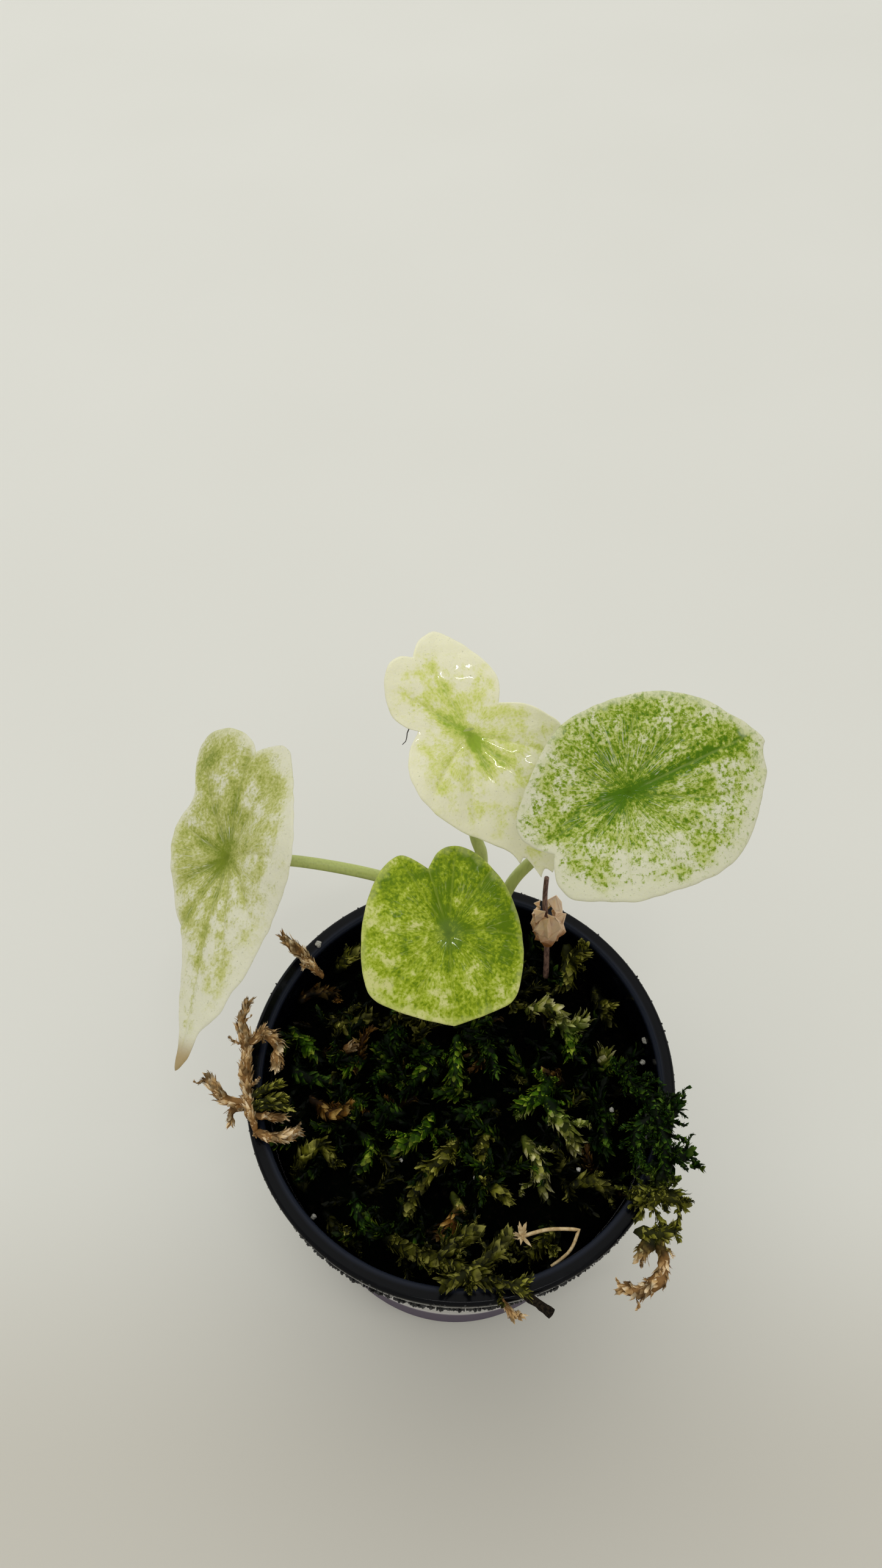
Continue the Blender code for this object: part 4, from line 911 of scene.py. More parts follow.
def leaf_skin(
    name, colours, cover, slope, patches, contrast, hairs, rib_gain, heart_gain, edge_loss, margin, gloss,
    seed, dew=0.0, dry=PAST_THE_TIP,
):
    """Mottled leaf skin: cream cells, a yellow-green wash, and green flecks drawn out away from the petiole.
    They are densest where the cover, its slope over the leaf, the patches, the veins and the heart add up.
    Hairs are pale lines round the heart, dew is the shine over the petiole, and past dry the tip is brown."""
    cream, wash, green, deep = colours
    finish, tree, shader = new_finish(f"skin_{name}", {
        "Specular IOR Level": 0.1, "Subsurface Weight": 0.12, "Subsurface Radius": (1.0, 1.0, 0.4),
        "Subsurface Scale": 0.8 * mm, "Coat Roughness": 0.04, "Coat IOR": 1.5,
    })
    place = tree.attribute("place", "Vector")
    place = tree.node("ShaderNodeVectorMath", {"operation": "ADD"}, {0: place, 1: (0, 0, 7.0 * seed)})
    u = tree.axis(place, "X")
    v = u.beside("Y")
    away = (u * u + v * v + 0.2) ** 0.5
    round_u = u / away * SPOKES
    round_v = v / away * SPOKES
    spokes = tree.node("ShaderNodeCombineXYZ", None, {0: round_u, 1: round_v, 2: away * 0.55 + seed})
    streaks = tree.noise(spokes, 0.42, 3.0, 0.6)
    flecks = tree.noise(place, 0.55, 3.0, 0.65)
    patches_small = tree.noise(place, 2.4, 2.0, 0.5)
    clouds = tree.noise(place, 6.5, 2.0, 0.5)
    edge = tree.attribute("edge") + (patches_small - 0.5) * 0.3
    heart = tree.step(away, 0.5, 7.0, 1.0, 0.0)
    amount = cover + u * slope[0] + v * slope[1]
    amount = amount + (clouds - 0.5) * patches + (patches_small - 0.5) * patches
    amount = amount + tree.attribute("green") * rib_gain + heart * heart_gain
    amount = amount - tree.step(edge, 0.78, 1.04) * edge_loss
    grain = 0.5 + (streaks - 0.5) * contrast + (flecks - 0.5) * contrast
    fleck = tree.step(grain + amount, 0.34, 0.70)
    dense = tree.step(grain + amount, 0.54, 0.98)
    tint = tree.step(clouds * 0.4 + patches_small * 0.4 + flecks * 0.4 + amount, 0.34, 0.74)
    skin = tree.blend(tint, cream, wash)
    skin = tree.blend(fleck, skin, green)
    skin = tree.blend(dense, skin, deep)
    dots = tree.step(tree.noise(place, 0.42, 1.0), 0.68, 0.74) * tree.step(away, 5.0, 9.0) * 0.3
    skin = tree.blend(dots, skin, srgb(92, 100, 44))
    lines = tree.node("ShaderNodeCombineXYZ", None, {0: round_u, 1: round_v, 2: away * 0.07 - seed})
    line = tree.noise(lines, 0.8, 2.0) - 0.5
    line = tree.step(line.maths("ABSOLUTE", line), 0.0, 0.022, hairs, 0.0)
    line = line * tree.step(away, 2.5, 5.5) * tree.step(away, 9.0, 15.0, 1.0, 0.0)
    skin = tree.blend(line * tree.step(patches_small, 0.42, 0.56), skin, cream)
    rib = tree.step(tree.attribute("vein"), 0.05, 0.45, 0.22, 0.0) * tree.step(away, 2.0, 5.0)
    skin = tree.blend(rib, skin, wash)
    skin = tree.blend(tree.step(edge, 0.9, 1.02) * margin, skin, cream)
    skin = tree.blend(tree.step(u, dry, dry + 5.0), skin, srgb(168, 148, 106))
    tree.feed(shader["Base Color"], skin)
    tree.feed(shader["Roughness"], 0.42 - gloss * 0.2 + flecks * 0.12)
    wet = tree.step(away, 1.6, 3.6, dew, 0.0)
    tree.feed(shader["Coat Weight"], gloss * tree.step(flecks, 0.2, 0.7, 0.7, 1.0) + wet)
    tree.feed(shader["Normal"], tree.bump(streaks + flecks * 0.7, 0.1))
    return finish


LEAF_SKINS = {
    "front": leaf_skin(
        "front", (srgb(210, 212, 140), srgb(184, 198, 76), srgb(148, 168, 24), srgb(92, 122, 0)),
        cover=0.17, slope=(-0.008, 0.010), patches=0.85, contrast=0.9, hairs=0.25, rib_gain=0.3,
        heart_gain=0.12, edge_loss=0.12, margin=0.35, gloss=0.04, seed=1, dew=0.6,
    ),
    "right": leaf_skin(
        "right", (srgb(216, 216, 188), srgb(188, 197, 116), srgb(138, 160, 34), srgb(76, 116, 0)),
        cover=0.01, slope=(0.0, 0.008), patches=0.5, contrast=1.3, hairs=0.7, rib_gain=0.55,
        heart_gain=0.12, edge_loss=0.22, margin=0.6, gloss=0.05, seed=2,
    ),
    "back": leaf_skin(
        "back", (srgb(237, 235, 202), srgb(226, 227, 158), srgb(208, 216, 108), srgb(150, 178, 34)),
        cover=-0.12, slope=(0.0, 0.0), patches=0.6, contrast=0.6, hairs=0.3, rib_gain=0.5,
        heart_gain=0.14, edge_loss=0.2, margin=0.5, gloss=0.7, seed=3,
    ),
    "left": leaf_skin(
        "left", (srgb(216, 215, 190), srgb(198, 199, 136), srgb(170, 174, 90), srgb(116, 132, 26)),
        cover=0.0, slope=(-0.004, -0.006), patches=0.5, contrast=0.65, hairs=0.6, rib_gain=0.5,
        heart_gain=0.2, edge_loss=0.22, margin=0.4, gloss=0.15, seed=4, dry=33.0,
    ),
}
RAGGED = {"front": 0.4, "right": 0.8, "back": 1.0, "left": 1.2}
for name, skin in LEAF_SKINS.items():
    leaf = blade_object(name, RAGGED[name])
    leaf.data.materials.append(skin)
    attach(leaf, "root")
    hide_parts(f"blade_{name}")

# Withered hair. A shred of the back leaf's edge has dried to a dark hair, which curls down under the leaf's
# left lobe and is held only by its upper end.
HAIR_ROUTE = ((-10.2, 39.9, 149.7), (-10.9, 38.8, 149.0), (-11.1, 37.8, 147.9), (-11.8, 37.2, 147.4))
HAIR_RADII = (0.12, 0.07)

hair_finish, tree, shader = new_finish("withered_hair", {"Roughness": 0.6})
tree.feed(shader["Base Color"], srgb(34, 28, 20))
hair = grow("withered_hair", polyline("hair", [HAIR_ROUTE]), stem_group, {
    "Foot radius": HAIR_RADII[0] * mm, "Top radius": HAIR_RADII[1] * mm, "Flare": 0.0, "Finish": hair_finish,
}, sharp=60)
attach(hair, "root")

# Dried stalk and papery scale. An old leaf's stem has dried to a thin brown stick, and a flake of its papery
# sheath still clings round it, crumpled, thin enough to glow, and torn along its top.
STALK_RADII = (0.66, 0.51)
STALK_ROUTE = (
    (19.6, 24.2, 65.0), (19.5, 24.6, 76.0), (18.4, 27.0, 92.0), (17.1, 29.0, 104.0), (16.8, 29.9, 112.0),
)
SCALE_FOOT = 90.5
SCALE_TOP = 102.0
SCALE_WRAP = math.radians(305)
SCALE_START = math.radians(115)
SCALE_ACROSS = 17
SCALE_UP = 7
SCALE_THICKNESS = 0.22
# Its middle, which leans as it rises, its radius at the neck and how far it swells
SCALE_AT = (18.4, 27.0)
SCALE_LEAN = (-1.0, 1.5)
SCALE_NECK = 0.7
SCALE_SWELL = 2.6
CRUMPLE = 2.4
# Fixes the random vectors that crumple the scale and roughen the twig
CRUMPLE_SEED = 6

stalk_finish, tree, shader = new_finish("dry_stalk", {"Roughness": 0.7})
place = tree.place()
fibres = tree.noise(tree.stretched(place, (3.0, 3.0, 0.4)), 0.9, 4.0, 0.65)
tree.feed(shader["Base Color"], tree.tones(fibres, 0.35, 0.65, (72, 48, 40), (138, 106, 90)))
tree.feed(shader["Normal"], tree.bump(fibres, 0.12))
stalk = grow("stalk", polyline("stalk", [STALK_ROUTE]), stem_group, {
    "Foot radius": STALK_RADII[0] * mm, "Top radius": STALK_RADII[1] * mm, "Flare": 0.0,
    "Finish": stalk_finish,
}, sharp=60)
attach(stalk, "root")
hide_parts("dried_stalk")


def flake_mesh(name, surface, columns, rows, thickness):
    """A thin closed sheet from a surface formula of two shares, from 0 to 1."""
    grid = []
    for row in range(rows + 1):
        grid.append([Vector(surface(column / columns, row / rows)) for column in range(columns + 1)])
    shape = bmesh.new()
    layers = []
    for side in (0.5, -0.5):
        layer = []
        for row in range(rows + 1):
            line = []
            for column in range(columns + 1):
                right = grid[row][min(column + 1, columns)] - grid[row][max(column - 1, 0)]
                up = grid[min(row + 1, rows)][column] - grid[max(row - 1, 0)][column]
                normal = right.cross(up)
                lift = normal.normalized() * thickness * side if normal.length > 1e-9 else Vector()
                line.append(shape.verts.new((grid[row][column] + lift) * mm))
            layer.append(line)
        layers.append(layer)
    front, back = layers
    for row in range(rows):
        for column in range(columns):
            corners = ((row, column), (row, column + 1), (row + 1, column + 1), (row + 1, column))
            shape.faces.new([front[r][c] for r, c in corners])
            shape.faces.new([back[r][c] for r, c in reversed(corners)])
    border = [(0, c) for c in range(columns)] + [(r, columns) for r in range(rows)]
    border += [(rows, c) for c in range(columns, 0, -1)] + [(r, 0) for r in range(rows, 0, -1)]
    for (r1, c1), (r2, c2) in zip(border, border[1:] + border[:1]):
        shape.faces.new([front[r1][c1], back[r1][c1], back[r2][c2], front[r2][c2]])
    bmesh.ops.recalc_face_normals(shape, faces=shape.faces)
    mesh = bpy.data.meshes.new(name)
    shape.to_mesh(mesh)
    shape.free()
    return mesh


def scale_surface(across, up):
    """The sheath: a narrow foot that swells round the stalk, crumpled into flat facets, with a torn top."""
    crumple = noise.noise_vector(Vector((across * 15.3, up * 6.1, 6.0))) * CRUMPLE * (0.3 + 0.7 * up)
    angle = SCALE_START + SCALE_WRAP * across
    swell = math.sin(math.pi * (0.12 + 0.76 * up)) ** 0.8
    radius = SCALE_NECK + SCALE_SWELL * swell * (1 + 0.3 * math.cos(angle - 0.2) + 0.15 * math.sin(3 * angle))
    torn = 0.86 + 0.16 * math.sin(across * 29.0) + 0.1 * math.sin(across * 61.0 + 1.0)
    return (
        SCALE_AT[0] + SCALE_LEAN[0] * up + radius * math.cos(angle) + crumple.x,
        SCALE_AT[1] + SCALE_LEAN[1] * up + radius * math.sin(angle) + crumple.y,
        SCALE_FOOT + (SCALE_TOP - SCALE_FOOT) * up * torn + crumple.z,
    )


scale_finish, tree, shader = new_finish("papery_sheath", {
    "Roughness": 0.45, "Subsurface Weight": 0.4, "Subsurface Radius": (1.0, 0.6, 0.35),
    "Subsurface Scale": 1.5 * mm,
})
place = tree.place()
crumple = tree.noise(place, 1.2, 4.0, 0.65)
high = tree.axis(place, "Z")
paper = tree.tones(high + crumple * 5.0, 94.5, 100.0, (136, 86, 40), (228, 188, 150))
tree.feed(shader["Base Color"], tree.blend(tree.step(crumple, 0.55, 0.8) * 0.6, paper, srgb(228, 208, 178)))
tree.feed(shader["Normal"], tree.bump(crumple, 0.2))
noise.seed_set(CRUMPLE_SEED)
sheath = new_object(
    "sheath", flake_mesh("sheath", scale_surface, SCALE_ACROSS, SCALE_UP, SCALE_THICKNESS)
)
sheath.data.materials.append(scale_finish)
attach(sheath, "root")
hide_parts("papery_scale")

# Moss. Live bog moss grows over the mix in loose fleshy strands, each a soft stem clothed in small
# overlapping pointed leaves. They differ in colour with age and light, and some lie over the rim of the pot.

# How far a strand's middle lies over the mix, and a leaf's foot from the middle of its stem, as shares of the
# stem's radius
SEAT_SHARE = 0.8
LEAF_SEAT = 0.75
GOLDEN_ANGLE = math.radians(137.5)
# Leaves and branches stray this far round the stem from their places, and differ in size by this much
MOSS_STRAY = 0.9
MOSS_SIZES = (0.6, 1.25)
# How far each branch turns round the stem from the last one, and how far the branches lean out
BRANCH_TWIST = 2.1
BRANCH_LEANS = (0.6, 1.25)
# Each tuft's random numbers start from a seed of its own
SHOOT_SEED = 50
STRAND_SEED = 100
FINGER_SEED = 900
SEED_STEP = 10
MOSS_STEP = 0.7
# How a grown tuft wanders and then kinks: how long its bends are and how far they reach
MOSS_BENDS = ((2.6, 1.8), (0.9, 0.8))
# Young shoots that fill the mat: length in millimetres and how far each arches up
SHOOTS = ((6.5, 1.0), (8.5, 2.0), (5.5, 1.4), (10.5, 2.6))
# Leafy strands: colour, stem radius, and each stem's points as x, y and how far it lies above the mix
STRANDS = {
    "moss_back_left": ("olive", 1.6, [((-28.5, 24.5, 0.5), (-25, 27.5, 2.0), (-20.5, 30, 0.8))]),
    "moss_rust_flake": ("brown", 1.3, [((-36, 17, 2.6), (-33, 19.5, 1.2), (-28, 19.5, 0.5))]),
    "moss_left_upper": ("green", 1.4, [((-37.5, 11.5, 1.4), (-34.5, 8, 0.8), (-30.5, 4, 0.5))]),
    "moss_left_fork": ("olive", 1.5, [((-29.5, 14, 0.5), (-25, 11.5, 1.0), (-20.5, 14.5, 0.6))]),
    "moss_long_green": ("dark", 1.4, [((-15, 15.5, 1.0), (-14, 9.5, 1.2), (-15.5, 4, 0.8), (-19, -1, 0.5))]),
    "moss_left_star": ("tan", 1.4, [((-26, 5.5, 0.5), (-22.5, 7, 1.8))]),
    "moss_centre_left": ("green", 1.7, [((-8.5, 9.5, 0.5), (-7, 4, 1.4), (-10.5, -1, 0.6))]),
    "moss_centre": ("green", 1.6, [((-0.5, 10, 1.4), (-1, 4, 0.8), (-1.5, -3, 0.5))]),
    "moss_centre_right": ("dark", 1.6, [((6, 13, 0.6), (6, 7, 1.4), (8, 1, 0.5))]),
    "moss_by_stalk": ("olive", 2.1, [
        ((24.2, 31.0, 5.0), (24.8, 27.5, 2.4), (24, 22, 0.5)),
        ((24.8, 27.5, 2.4), (28.6, 28.8, 8.4)),
    ]),
    "moss_right_upper": ("olive", 1.4, [
        ((30.5, 23.5, 1.4), (31.5, 19.5, 0.8), (33.5, 14.5, 0.5)),
        ((31.5, 19.5, 0.8), (34, 17.4, 2.8)),
    ]),
    "moss_pale_tuft": ("pale", 1.7, [
        ((14.5, 15.5, 0.5), (19.5, 16, 2.2), (24, 11.5, 1.4), (24, 6, 0.5)),
        ((24, 11.5, 1.4), (27.5, 13.5, 3.6)),
    ]),
    "moss_pale_star": ("pale", 1.4, [((31, 4, 0.5), (31.5, 7, 2.6))]),
    "moss_right_centre": ("green", 2.0, [
        ((20, 1, 0.6), (17, -3, 1.8), (12, -6, 0.5)),
        ((17, -3, 1.8), (21, -8, 1.2), (24.5, -13.5, 0.5)),
    ]),
    "moss_pale_strand": ("pale", 1.6, [((13, -11.5, 0.5), (15.5, -16, 1.6), (17.5, -22.5, 0.4))]),
    "moss_right_lower": ("olive", 1.4, [((22.5, -21, 0.5), (26.5, -20, 1.2), (31, -21.5, 0.5))]),
    "moss_middle_left": ("green", 1.5, [((-5.5, -7, 0.5), (-8, -11.5, 1.4), (-13.5, -15, 0.5))]),
    "moss_middle": ("olive", 1.8, [
        ((0, -12, 0.5), (-3.5, -16.5, 1.6), (-8.5, -21.5, 0.8), (-10.5, -27, 0.5)),
    ]),
    "moss_leafy": ("olive", 1.7, [
        ((6, -9.5, 1.6), (4.5, -14, 1.2), (4.5, -19.5, 0.5)),
        ((4.5, -19.5, 0.5), (9.5, -24, 1.0)),
    ]),
    "moss_yellow": ("brown", 1.6, [((-1.5, -23, 0.6), (-0.5, -27, 1.6), (-4.5, -31.5, 0.5))]),
    "moss_rust": ("brown", 1.5, [((-32, -4, 1.4), (-27.5, -7.5, 0.8), (-22.5, -5.5, 0.5))]),
    "moss_left_green": ("dark", 1.6, [((-36.5, 2.5, 1.4), (-33, 0, 1.2), (-27, -0.5, 0.5))]),
    "moss_left_lower": ("green", 1.5, [((-21.5, -11, 0.5), (-18.5, -14, 1.2), (-20.5, -19, 0.5))]),
    "moss_hook": ("olive", 1.2, [
        ((-31.5, -23.5, 0.6), (-33, -18.5, 1.0), (-29.5, -14.5, 1.4), (-26, -17.5, 0.6)),
    ]),
    "moss_edge_left": ("dark", 1.2, [((-35.8, -3.5, 0.6), (-37, -8, 0.8), (-36.2, -12.5, 0.5))]),
    "moss_lower_left": ("dark", 1.4, [((-21.5, -23.5, 0.5), (-20.5, -27, 0.8), (-18, -31, 0.5))]),
    "moss_loop": ("olive", 1.1, [((-27.5, -26.5, 0.5), (-25, -29.8, 1.0), (-21, -32.4, 0.5))]),
    "moss_front_right": ("olive", 1.5, [((19, -29, 0.5), (16, -32.5, 2.2), (13.4, -35.5, 4.4))]),
    "moss_right_inner": ("dark", 1.5, [((30.5, -2.5, 0.6), (30.5, -9, 1.4), (30.5, -15, 0.5))]),
    "moss_behind_left": ("dark", 1.6, [((-19, 21.5, 0.5), (-14, 24.5, 1.4), (-8.5, 22, 0.5))]),
    "moss_behind_right": ("green", 1.6, [((10.5, 20.5, 0.5), (12.5, 24.5, 1.4), (13, 30, 0.5))]),
    "moss_behind": ("dark", 1.5, [((-10.5, 32, 0.5), (-4, 34, 1.4), (3, 34.5, 0.6))]),
    "moss_left_middle": ("dark", 1.4, [((-11.5, -7.5, 0.5), (-16.5, -6, 1.2))]),
    "moss_middle_right": ("dark", 1.5, [((8, -4, 0.5), (3.5, -6, 1.2), (-0.5, -7.5, 0.5))]),
    "moss_far_right": ("dark", 1.3, [((38, 9, 1.4), (36.5, 4, 0.5))]),
    "moss_fill_left": ("green", 1.4, [((-20, 4.5, 0.5), (-24.5, 1.5, 1.0))]),
}
# Tufts that hang over the rim, whose points are x, y and height
RIM_TUFTS = {
    "moss_rim_left": ("tan", 1.3, [
        (
            (-41.5, -13.5, 83.9), (-43.5, -8, 84.5), (-44.5, -2.5, 84.4),
            (-45, 4, 84.6), (-46.5, 9, 85.4), (-45, 13, 87),
        ),
        ((-45, 4, 84.6), (-41.5, 6.5, 86.2), (-38.5, 4, 85.6), (-38.5, 0, 84.8)),
        ((-43.5, -8, 84.5), (-47.5, -7.5, 84.4), (-52, -3.5, 85.8)),
        ((-41.5, -13.5, 83.9), (-37.5, -14.5, 83.6), (-33.5, -12.5, 80.4)),
    ]),
    "moss_rim_back_left": ("tan", 1.1, [
        ((-30.5, 21.5, 80.5), (-35, 25, 84.6), (-39.5, 28.5, 87.0)),
    ]),
    "moss_rim_right": ("dark", 1.9, [
        (
            (34, 1.5, 78.5), (37.5, -4, 82.5), (40, -10, 84.8),
            (40.5, -18, 85.2), (38.5, -25, 84.8), (36.6, -27.6, 84.6),
        ),
        ((40, -10, 84.8), (44.5, -7.5, 86.4)),
        ((40.5, -18, 85.2), (45.5, -17.5, 86.0)),
        ((38.5, -25, 84.8), (43.5, -26.5, 85.0)),
        ((40, -10, 84.8), (35.5, -13.5, 86.2), (35, -19, 85.6)),
        ((38.5, -25, 84.8), (33.5, -26, 84.4)),
    ]),
    "moss_rim_right_tail": ("brown", 1.3, [
        ((36.8, -32.5, 84.9), (38.4, -36.4, 84.6), (37.2, -39.8, 83.4), (34, -42, 81.8), (30.5, -41.2, 80.4)),
        ((33.2, -31.6, 84.0), (36.8, -32.5, 84.9), (41.0, -31.4, 84.9)),
        ((36.8, -32.5, 84.9), (34.2, -36.2, 83.0)),
    ]),
    "moss_rim_front": ("olive", 1.6, [
        ((-15, -32, 76.4), (-10, -34.5, 78.4), (-4.5, -37, 80.6), (1.5, -39.5, 84.0), (7.5, -42, 85.0)),
        ((-4.5, -37, 80.6), (-1, -33.5, 80.0), (3, -31, 79.2)),
        ((1.5, -39.5, 84.0), (5.5, -36.5, 83.4), (9, -32.5, 80.8)),
        ((1.5, -39.5, 84.0), (-3, -41.5, 84.8)),
    ]),
}
# Colours of each kind, from the shaded foot of a leaf to its dry tip, then how long its leaves are, how wide
# for their length, how far apart they are set, and how far they lean off the stem in radians
MOSS_KINDS = {
    "dark": ((srgb(6, 14, 2), srgb(32, 64, 8), srgb(84, 114, 30)), 2.2, 0.9, 0.09, 0.6),
    "green": ((srgb(12, 32, 2), srgb(80, 122, 10), srgb(162, 178, 58)), 2.6, 0.95, 0.10, 0.45),
    "olive": ((srgb(32, 34, 4), srgb(112, 112, 28), srgb(180, 176, 86)), 2.8, 0.95, 0.10, 0.38),
    "brown": ((srgb(52, 28, 5), srgb(136, 92, 28), srgb(196, 160, 88)), 2.6, 0.85, 0.11, 0.38),
    "tan": ((srgb(128, 92, 50), srgb(204, 168, 114), srgb(236, 214, 176)), 2.5, 0.6, 0.07, 0.2),
    "pale": ((srgb(66, 76, 14), srgb(156, 156, 72), srgb(224, 218, 166)), 3.0, 0.9, 0.11, 0.4),
}
# Colours that some tufts turn to from their back to their front, and where along y they start and end to turn
TURNS = {
    "moss_rim_right": ("dark", "olive", -20.0, -28.0),
    "moss_rim_right_tail": ("olive", "tan", -33.0, -38.0),
    "moss_pale_tuft": ("pale", "green", 15.0, 8.0),
    "moss_right_centre": ("green", "pale", -5.0, -12.0),
    "moss_yellow": ("pale", "brown", -24.0, -28.0),
}
# Height over the mix at which the moss is in full light
SHADE_TOP = 4.5
# How thick a stem is for its radius, and how long its leaves are for their kind, with the dry tufts by name
STEM_AND_LEAVES = (0.85, 1.0)
DRY = {"moss_rim_left": (0.9, 1.0), "moss_rim_back_left": (0.9, 1.0), "moss_rim_right_tail": (1.0, 0.8)}
# Tufts given extra painted shade, darker than their height would leave them, as a share of full light
PAINTED_SHADE_TUFTS = {"moss_rim_front": 0.5, "moss_front_right": 0.6}
# Pitch of the branches, their size, and how far down they may point, with the bushier tufts by name
BRANCHING = (4.0, 0.45, -0.25)
BUSHY = {
    "moss_rim_right": (0.75, 0.48, -0.7),
    "moss_rim_right_tail": (3.0, 0.25, -0.5),
    "moss_rim_left": (4.0, 0.28, -0.4),
    "moss_right_centre": (1.5, 0.4, -0.3),
    "moss_rim_front": (2.2, 0.4, -0.5),
    "moss_leafy": (2.2, 0.4, -0.25),
    "moss_centre": (2.0, 0.4, -0.25),
}
# Rows of points across a moss leaf one unit long: how far along it, half its width there, and how high its
# edges and its rib stand
LEAF_ROWS = ((0.22, 0.24, -0.05, 0.05), (0.52, 0.27, 0.02, 0.09), (0.82, 0.13, 0.10, 0.13))
LEAF_THICKNESS = 0.05

leaf_points = [(0, 0, 0)]
for along, half_width, edge_lift, rib_lift in LEAF_ROWS:
    leaf_points += [(-half_width, edge_lift, along), (0, rib_lift, along), (half_width, edge_lift, along)]
    leaf_points += [(0, rib_lift - LEAF_THICKNESS, along)]
leaf_points.append((0, 0.2, 1.0))
leaf_faces = []
for corner in range(4):
    beside = (corner + 1) % 4
    leaf_faces.append((0, 1 + corner, 1 + beside))
    for row in (0, 4):
        leaf_faces.append((1 + row + corner, 5 + row + corner, 5 + row + beside, 1 + row + beside))
    leaf_faces.append((9 + corner, 13, 9 + beside))
moss_leaf_mesh = bpy.data.meshes.new("moss_leaf")
moss_leaf_mesh.from_pydata(leaf_points, [], leaf_faces)
tips = moss_leaf_mesh.attributes.new("tip", "FLOAT", "POINT")
tips.data.foreach_set("value", [point[2] for point in leaf_points])
moss_leaf = bpy.data.objects.new("moss_leaf", moss_leaf_mesh)

leafy_group, recipe, given = new_recipe("leafy_stem", {
    "Leaf": "Object", "Shoots": "Collection", "Radius": "Float", "Stem share": "Float",
    "Leaf pitch": "Float", "Leaf length": "Float", "Leaf width": "Float", "Leaf lean": "Float",
    "Branch pitch": "Float", "Branch size": "Float", "Lowest": "Float", "Seed": "Int",
})
path = smooth_path(recipe, given, MOSS_STEP)
share = recipe.node("GeometryNodeSplineParameter")
plump = 0.35 + 0.65 * share.maths("SINE", share * math.pi) ** 0.5
path = recipe.node("GeometryNodeStoreNamedAttribute", None, {0: path, "Name": "plump", "Value": plump})
circle = recipe.node("GeometryNodeCurvePrimitiveCircle", None, {"Resolution": 7, "Radius": 1.0})
plump = recipe.node("GeometryNodeInputNamedAttribute", {"data_type": "FLOAT"}, {"Name": "plump"})
stem = recipe.node("GeometryNodeCurveToMesh", None, {
    0: path, 1: circle, "Scale": given["Radius"] * plump * given["Stem share"], "Fill Caps": True,
})


def random_shoot(recipe, seed):
    """The number of one of the shoots."""
    sockets = {4: 0, 5: len(SHOOTS) - 1, "Seed": seed}
    return recipe.node("FunctionNodeRandomValue", {"data_type": "INT"}, sockets, output=2)


def all_shoots(recipe, given):
    return recipe.node("GeometryNodeCollectionInfo", None, {
        "Collection": given["Shoots"], "Separate Children": True, "Reset Children": True,
    })


def spun(recipe, rotation, axis, angle):
    """A rotation turned further about one of its own axes."""
    by = recipe.node("FunctionNodeAxisAngleToRotation", None, {"Axis": axis, "Angle": angle})
    return recipe.node("FunctionNodeRotateRotation", {"rotation_space": "LOCAL"}, {0: rotation, 1: by})


def set_along(recipe, given, path, pitch, twist, leans, size, width, piece, pick):
    """Copies of a leaf or a shoot in a spiral round a path, none of them pointing down into its bed."""
    spots = recipe.node("GeometryNodeCurveToPoints", {"mode": "LENGTH"}, {0: path, "Length": pitch})
    index = recipe.node("GeometryNodeInputIndex")
    twirl = index * twist + random_number(recipe, -MOSS_STRAY, MOSS_STRAY, given["Seed"])
    facing = spun(recipe, spots.beside("Rotation"), (0, 0, 1), twirl)
    leaned = spun(recipe, facing, (1, 0, 0), -1.0 * random_number(recipe, *leans, given["Seed"] + 1))
    outward = recipe.node("FunctionNodeRotateVector", None, {0: (0, 1, 0), 1: facing})
    height = recipe.axis(outward, "Z")
    seat = given["Stem share"] * LEAF_SEAT
    free = recipe.node("FunctionNodeCompare", {"operation": "GREATER_THAN"}, {0: height, 1: given["Lowest"]})
    shift = recipe.scaled(outward, given["Radius"] * plump * seat)
    seated = recipe.node("GeometryNodeSetPosition", None, {"Geometry": spots, "Offset": shift})
    size = size * random_number(recipe, *MOSS_SIZES, given["Seed"] + 2)
    sockets = {
        "Points": seated, "Selection": free, "Instance": piece, "Rotation": leaned,
        "Scale": recipe.node("ShaderNodeCombineXYZ", None, {0: size * width, 1: size, 2: size}),
    }
    if pick:
        sockets["Pick Instance"] = True
        sockets["Instance Index"] = random_shoot(recipe, given["Seed"] + 3)
    copies = recipe.node("GeometryNodeInstanceOnPoints", None, sockets)
    if pick:
        return copies
    tone = random_number(recipe, 0.0, 1.0, given["Seed"] + 4)
    return recipe.node("GeometryNodeStoreNamedAttribute", {"domain": "INSTANCE", "data_type": "FLOAT"}, {
        0: copies, "Name": "tone", "Value": tone,
    })


leaf = recipe.node("GeometryNodeObjectInfo", None, {0: given["Leaf"]}, output="Geometry")
leaves = set_along(
    recipe, given, path, given["Leaf pitch"], GOLDEN_ANGLE, (0.0, given["Leaf lean"]),
    given["Leaf length"] * (0.45 + plump * 0.55), given["Leaf width"], leaf, False,
)
shoots = all_shoots(recipe, given)
branches = set_along(
    recipe, given, path, given["Branch pitch"], BRANCH_TWIST, BRANCH_LEANS, given["Branch size"], 1.0,
    shoots, True,
)
tuft = recipe.node("GeometryNodeJoinGeometry", None, {0: [stem, leaves, branches]})
tuft = recipe.node("GeometryNodeRealizeInstances", None, {0: tuft})
where = recipe.node("GeometryNodeInputPosition")
for size, depth in MOSS_BENDS:
    push = recipe.scaled(random_push(recipe, where, 1000.0 / size, 1.0), depth * mm)
    tuft = recipe.node("GeometryNodeSetPosition", None, {"Geometry": tuft, "Offset": push})
end_recipe(recipe, tuft, given["Finish"])


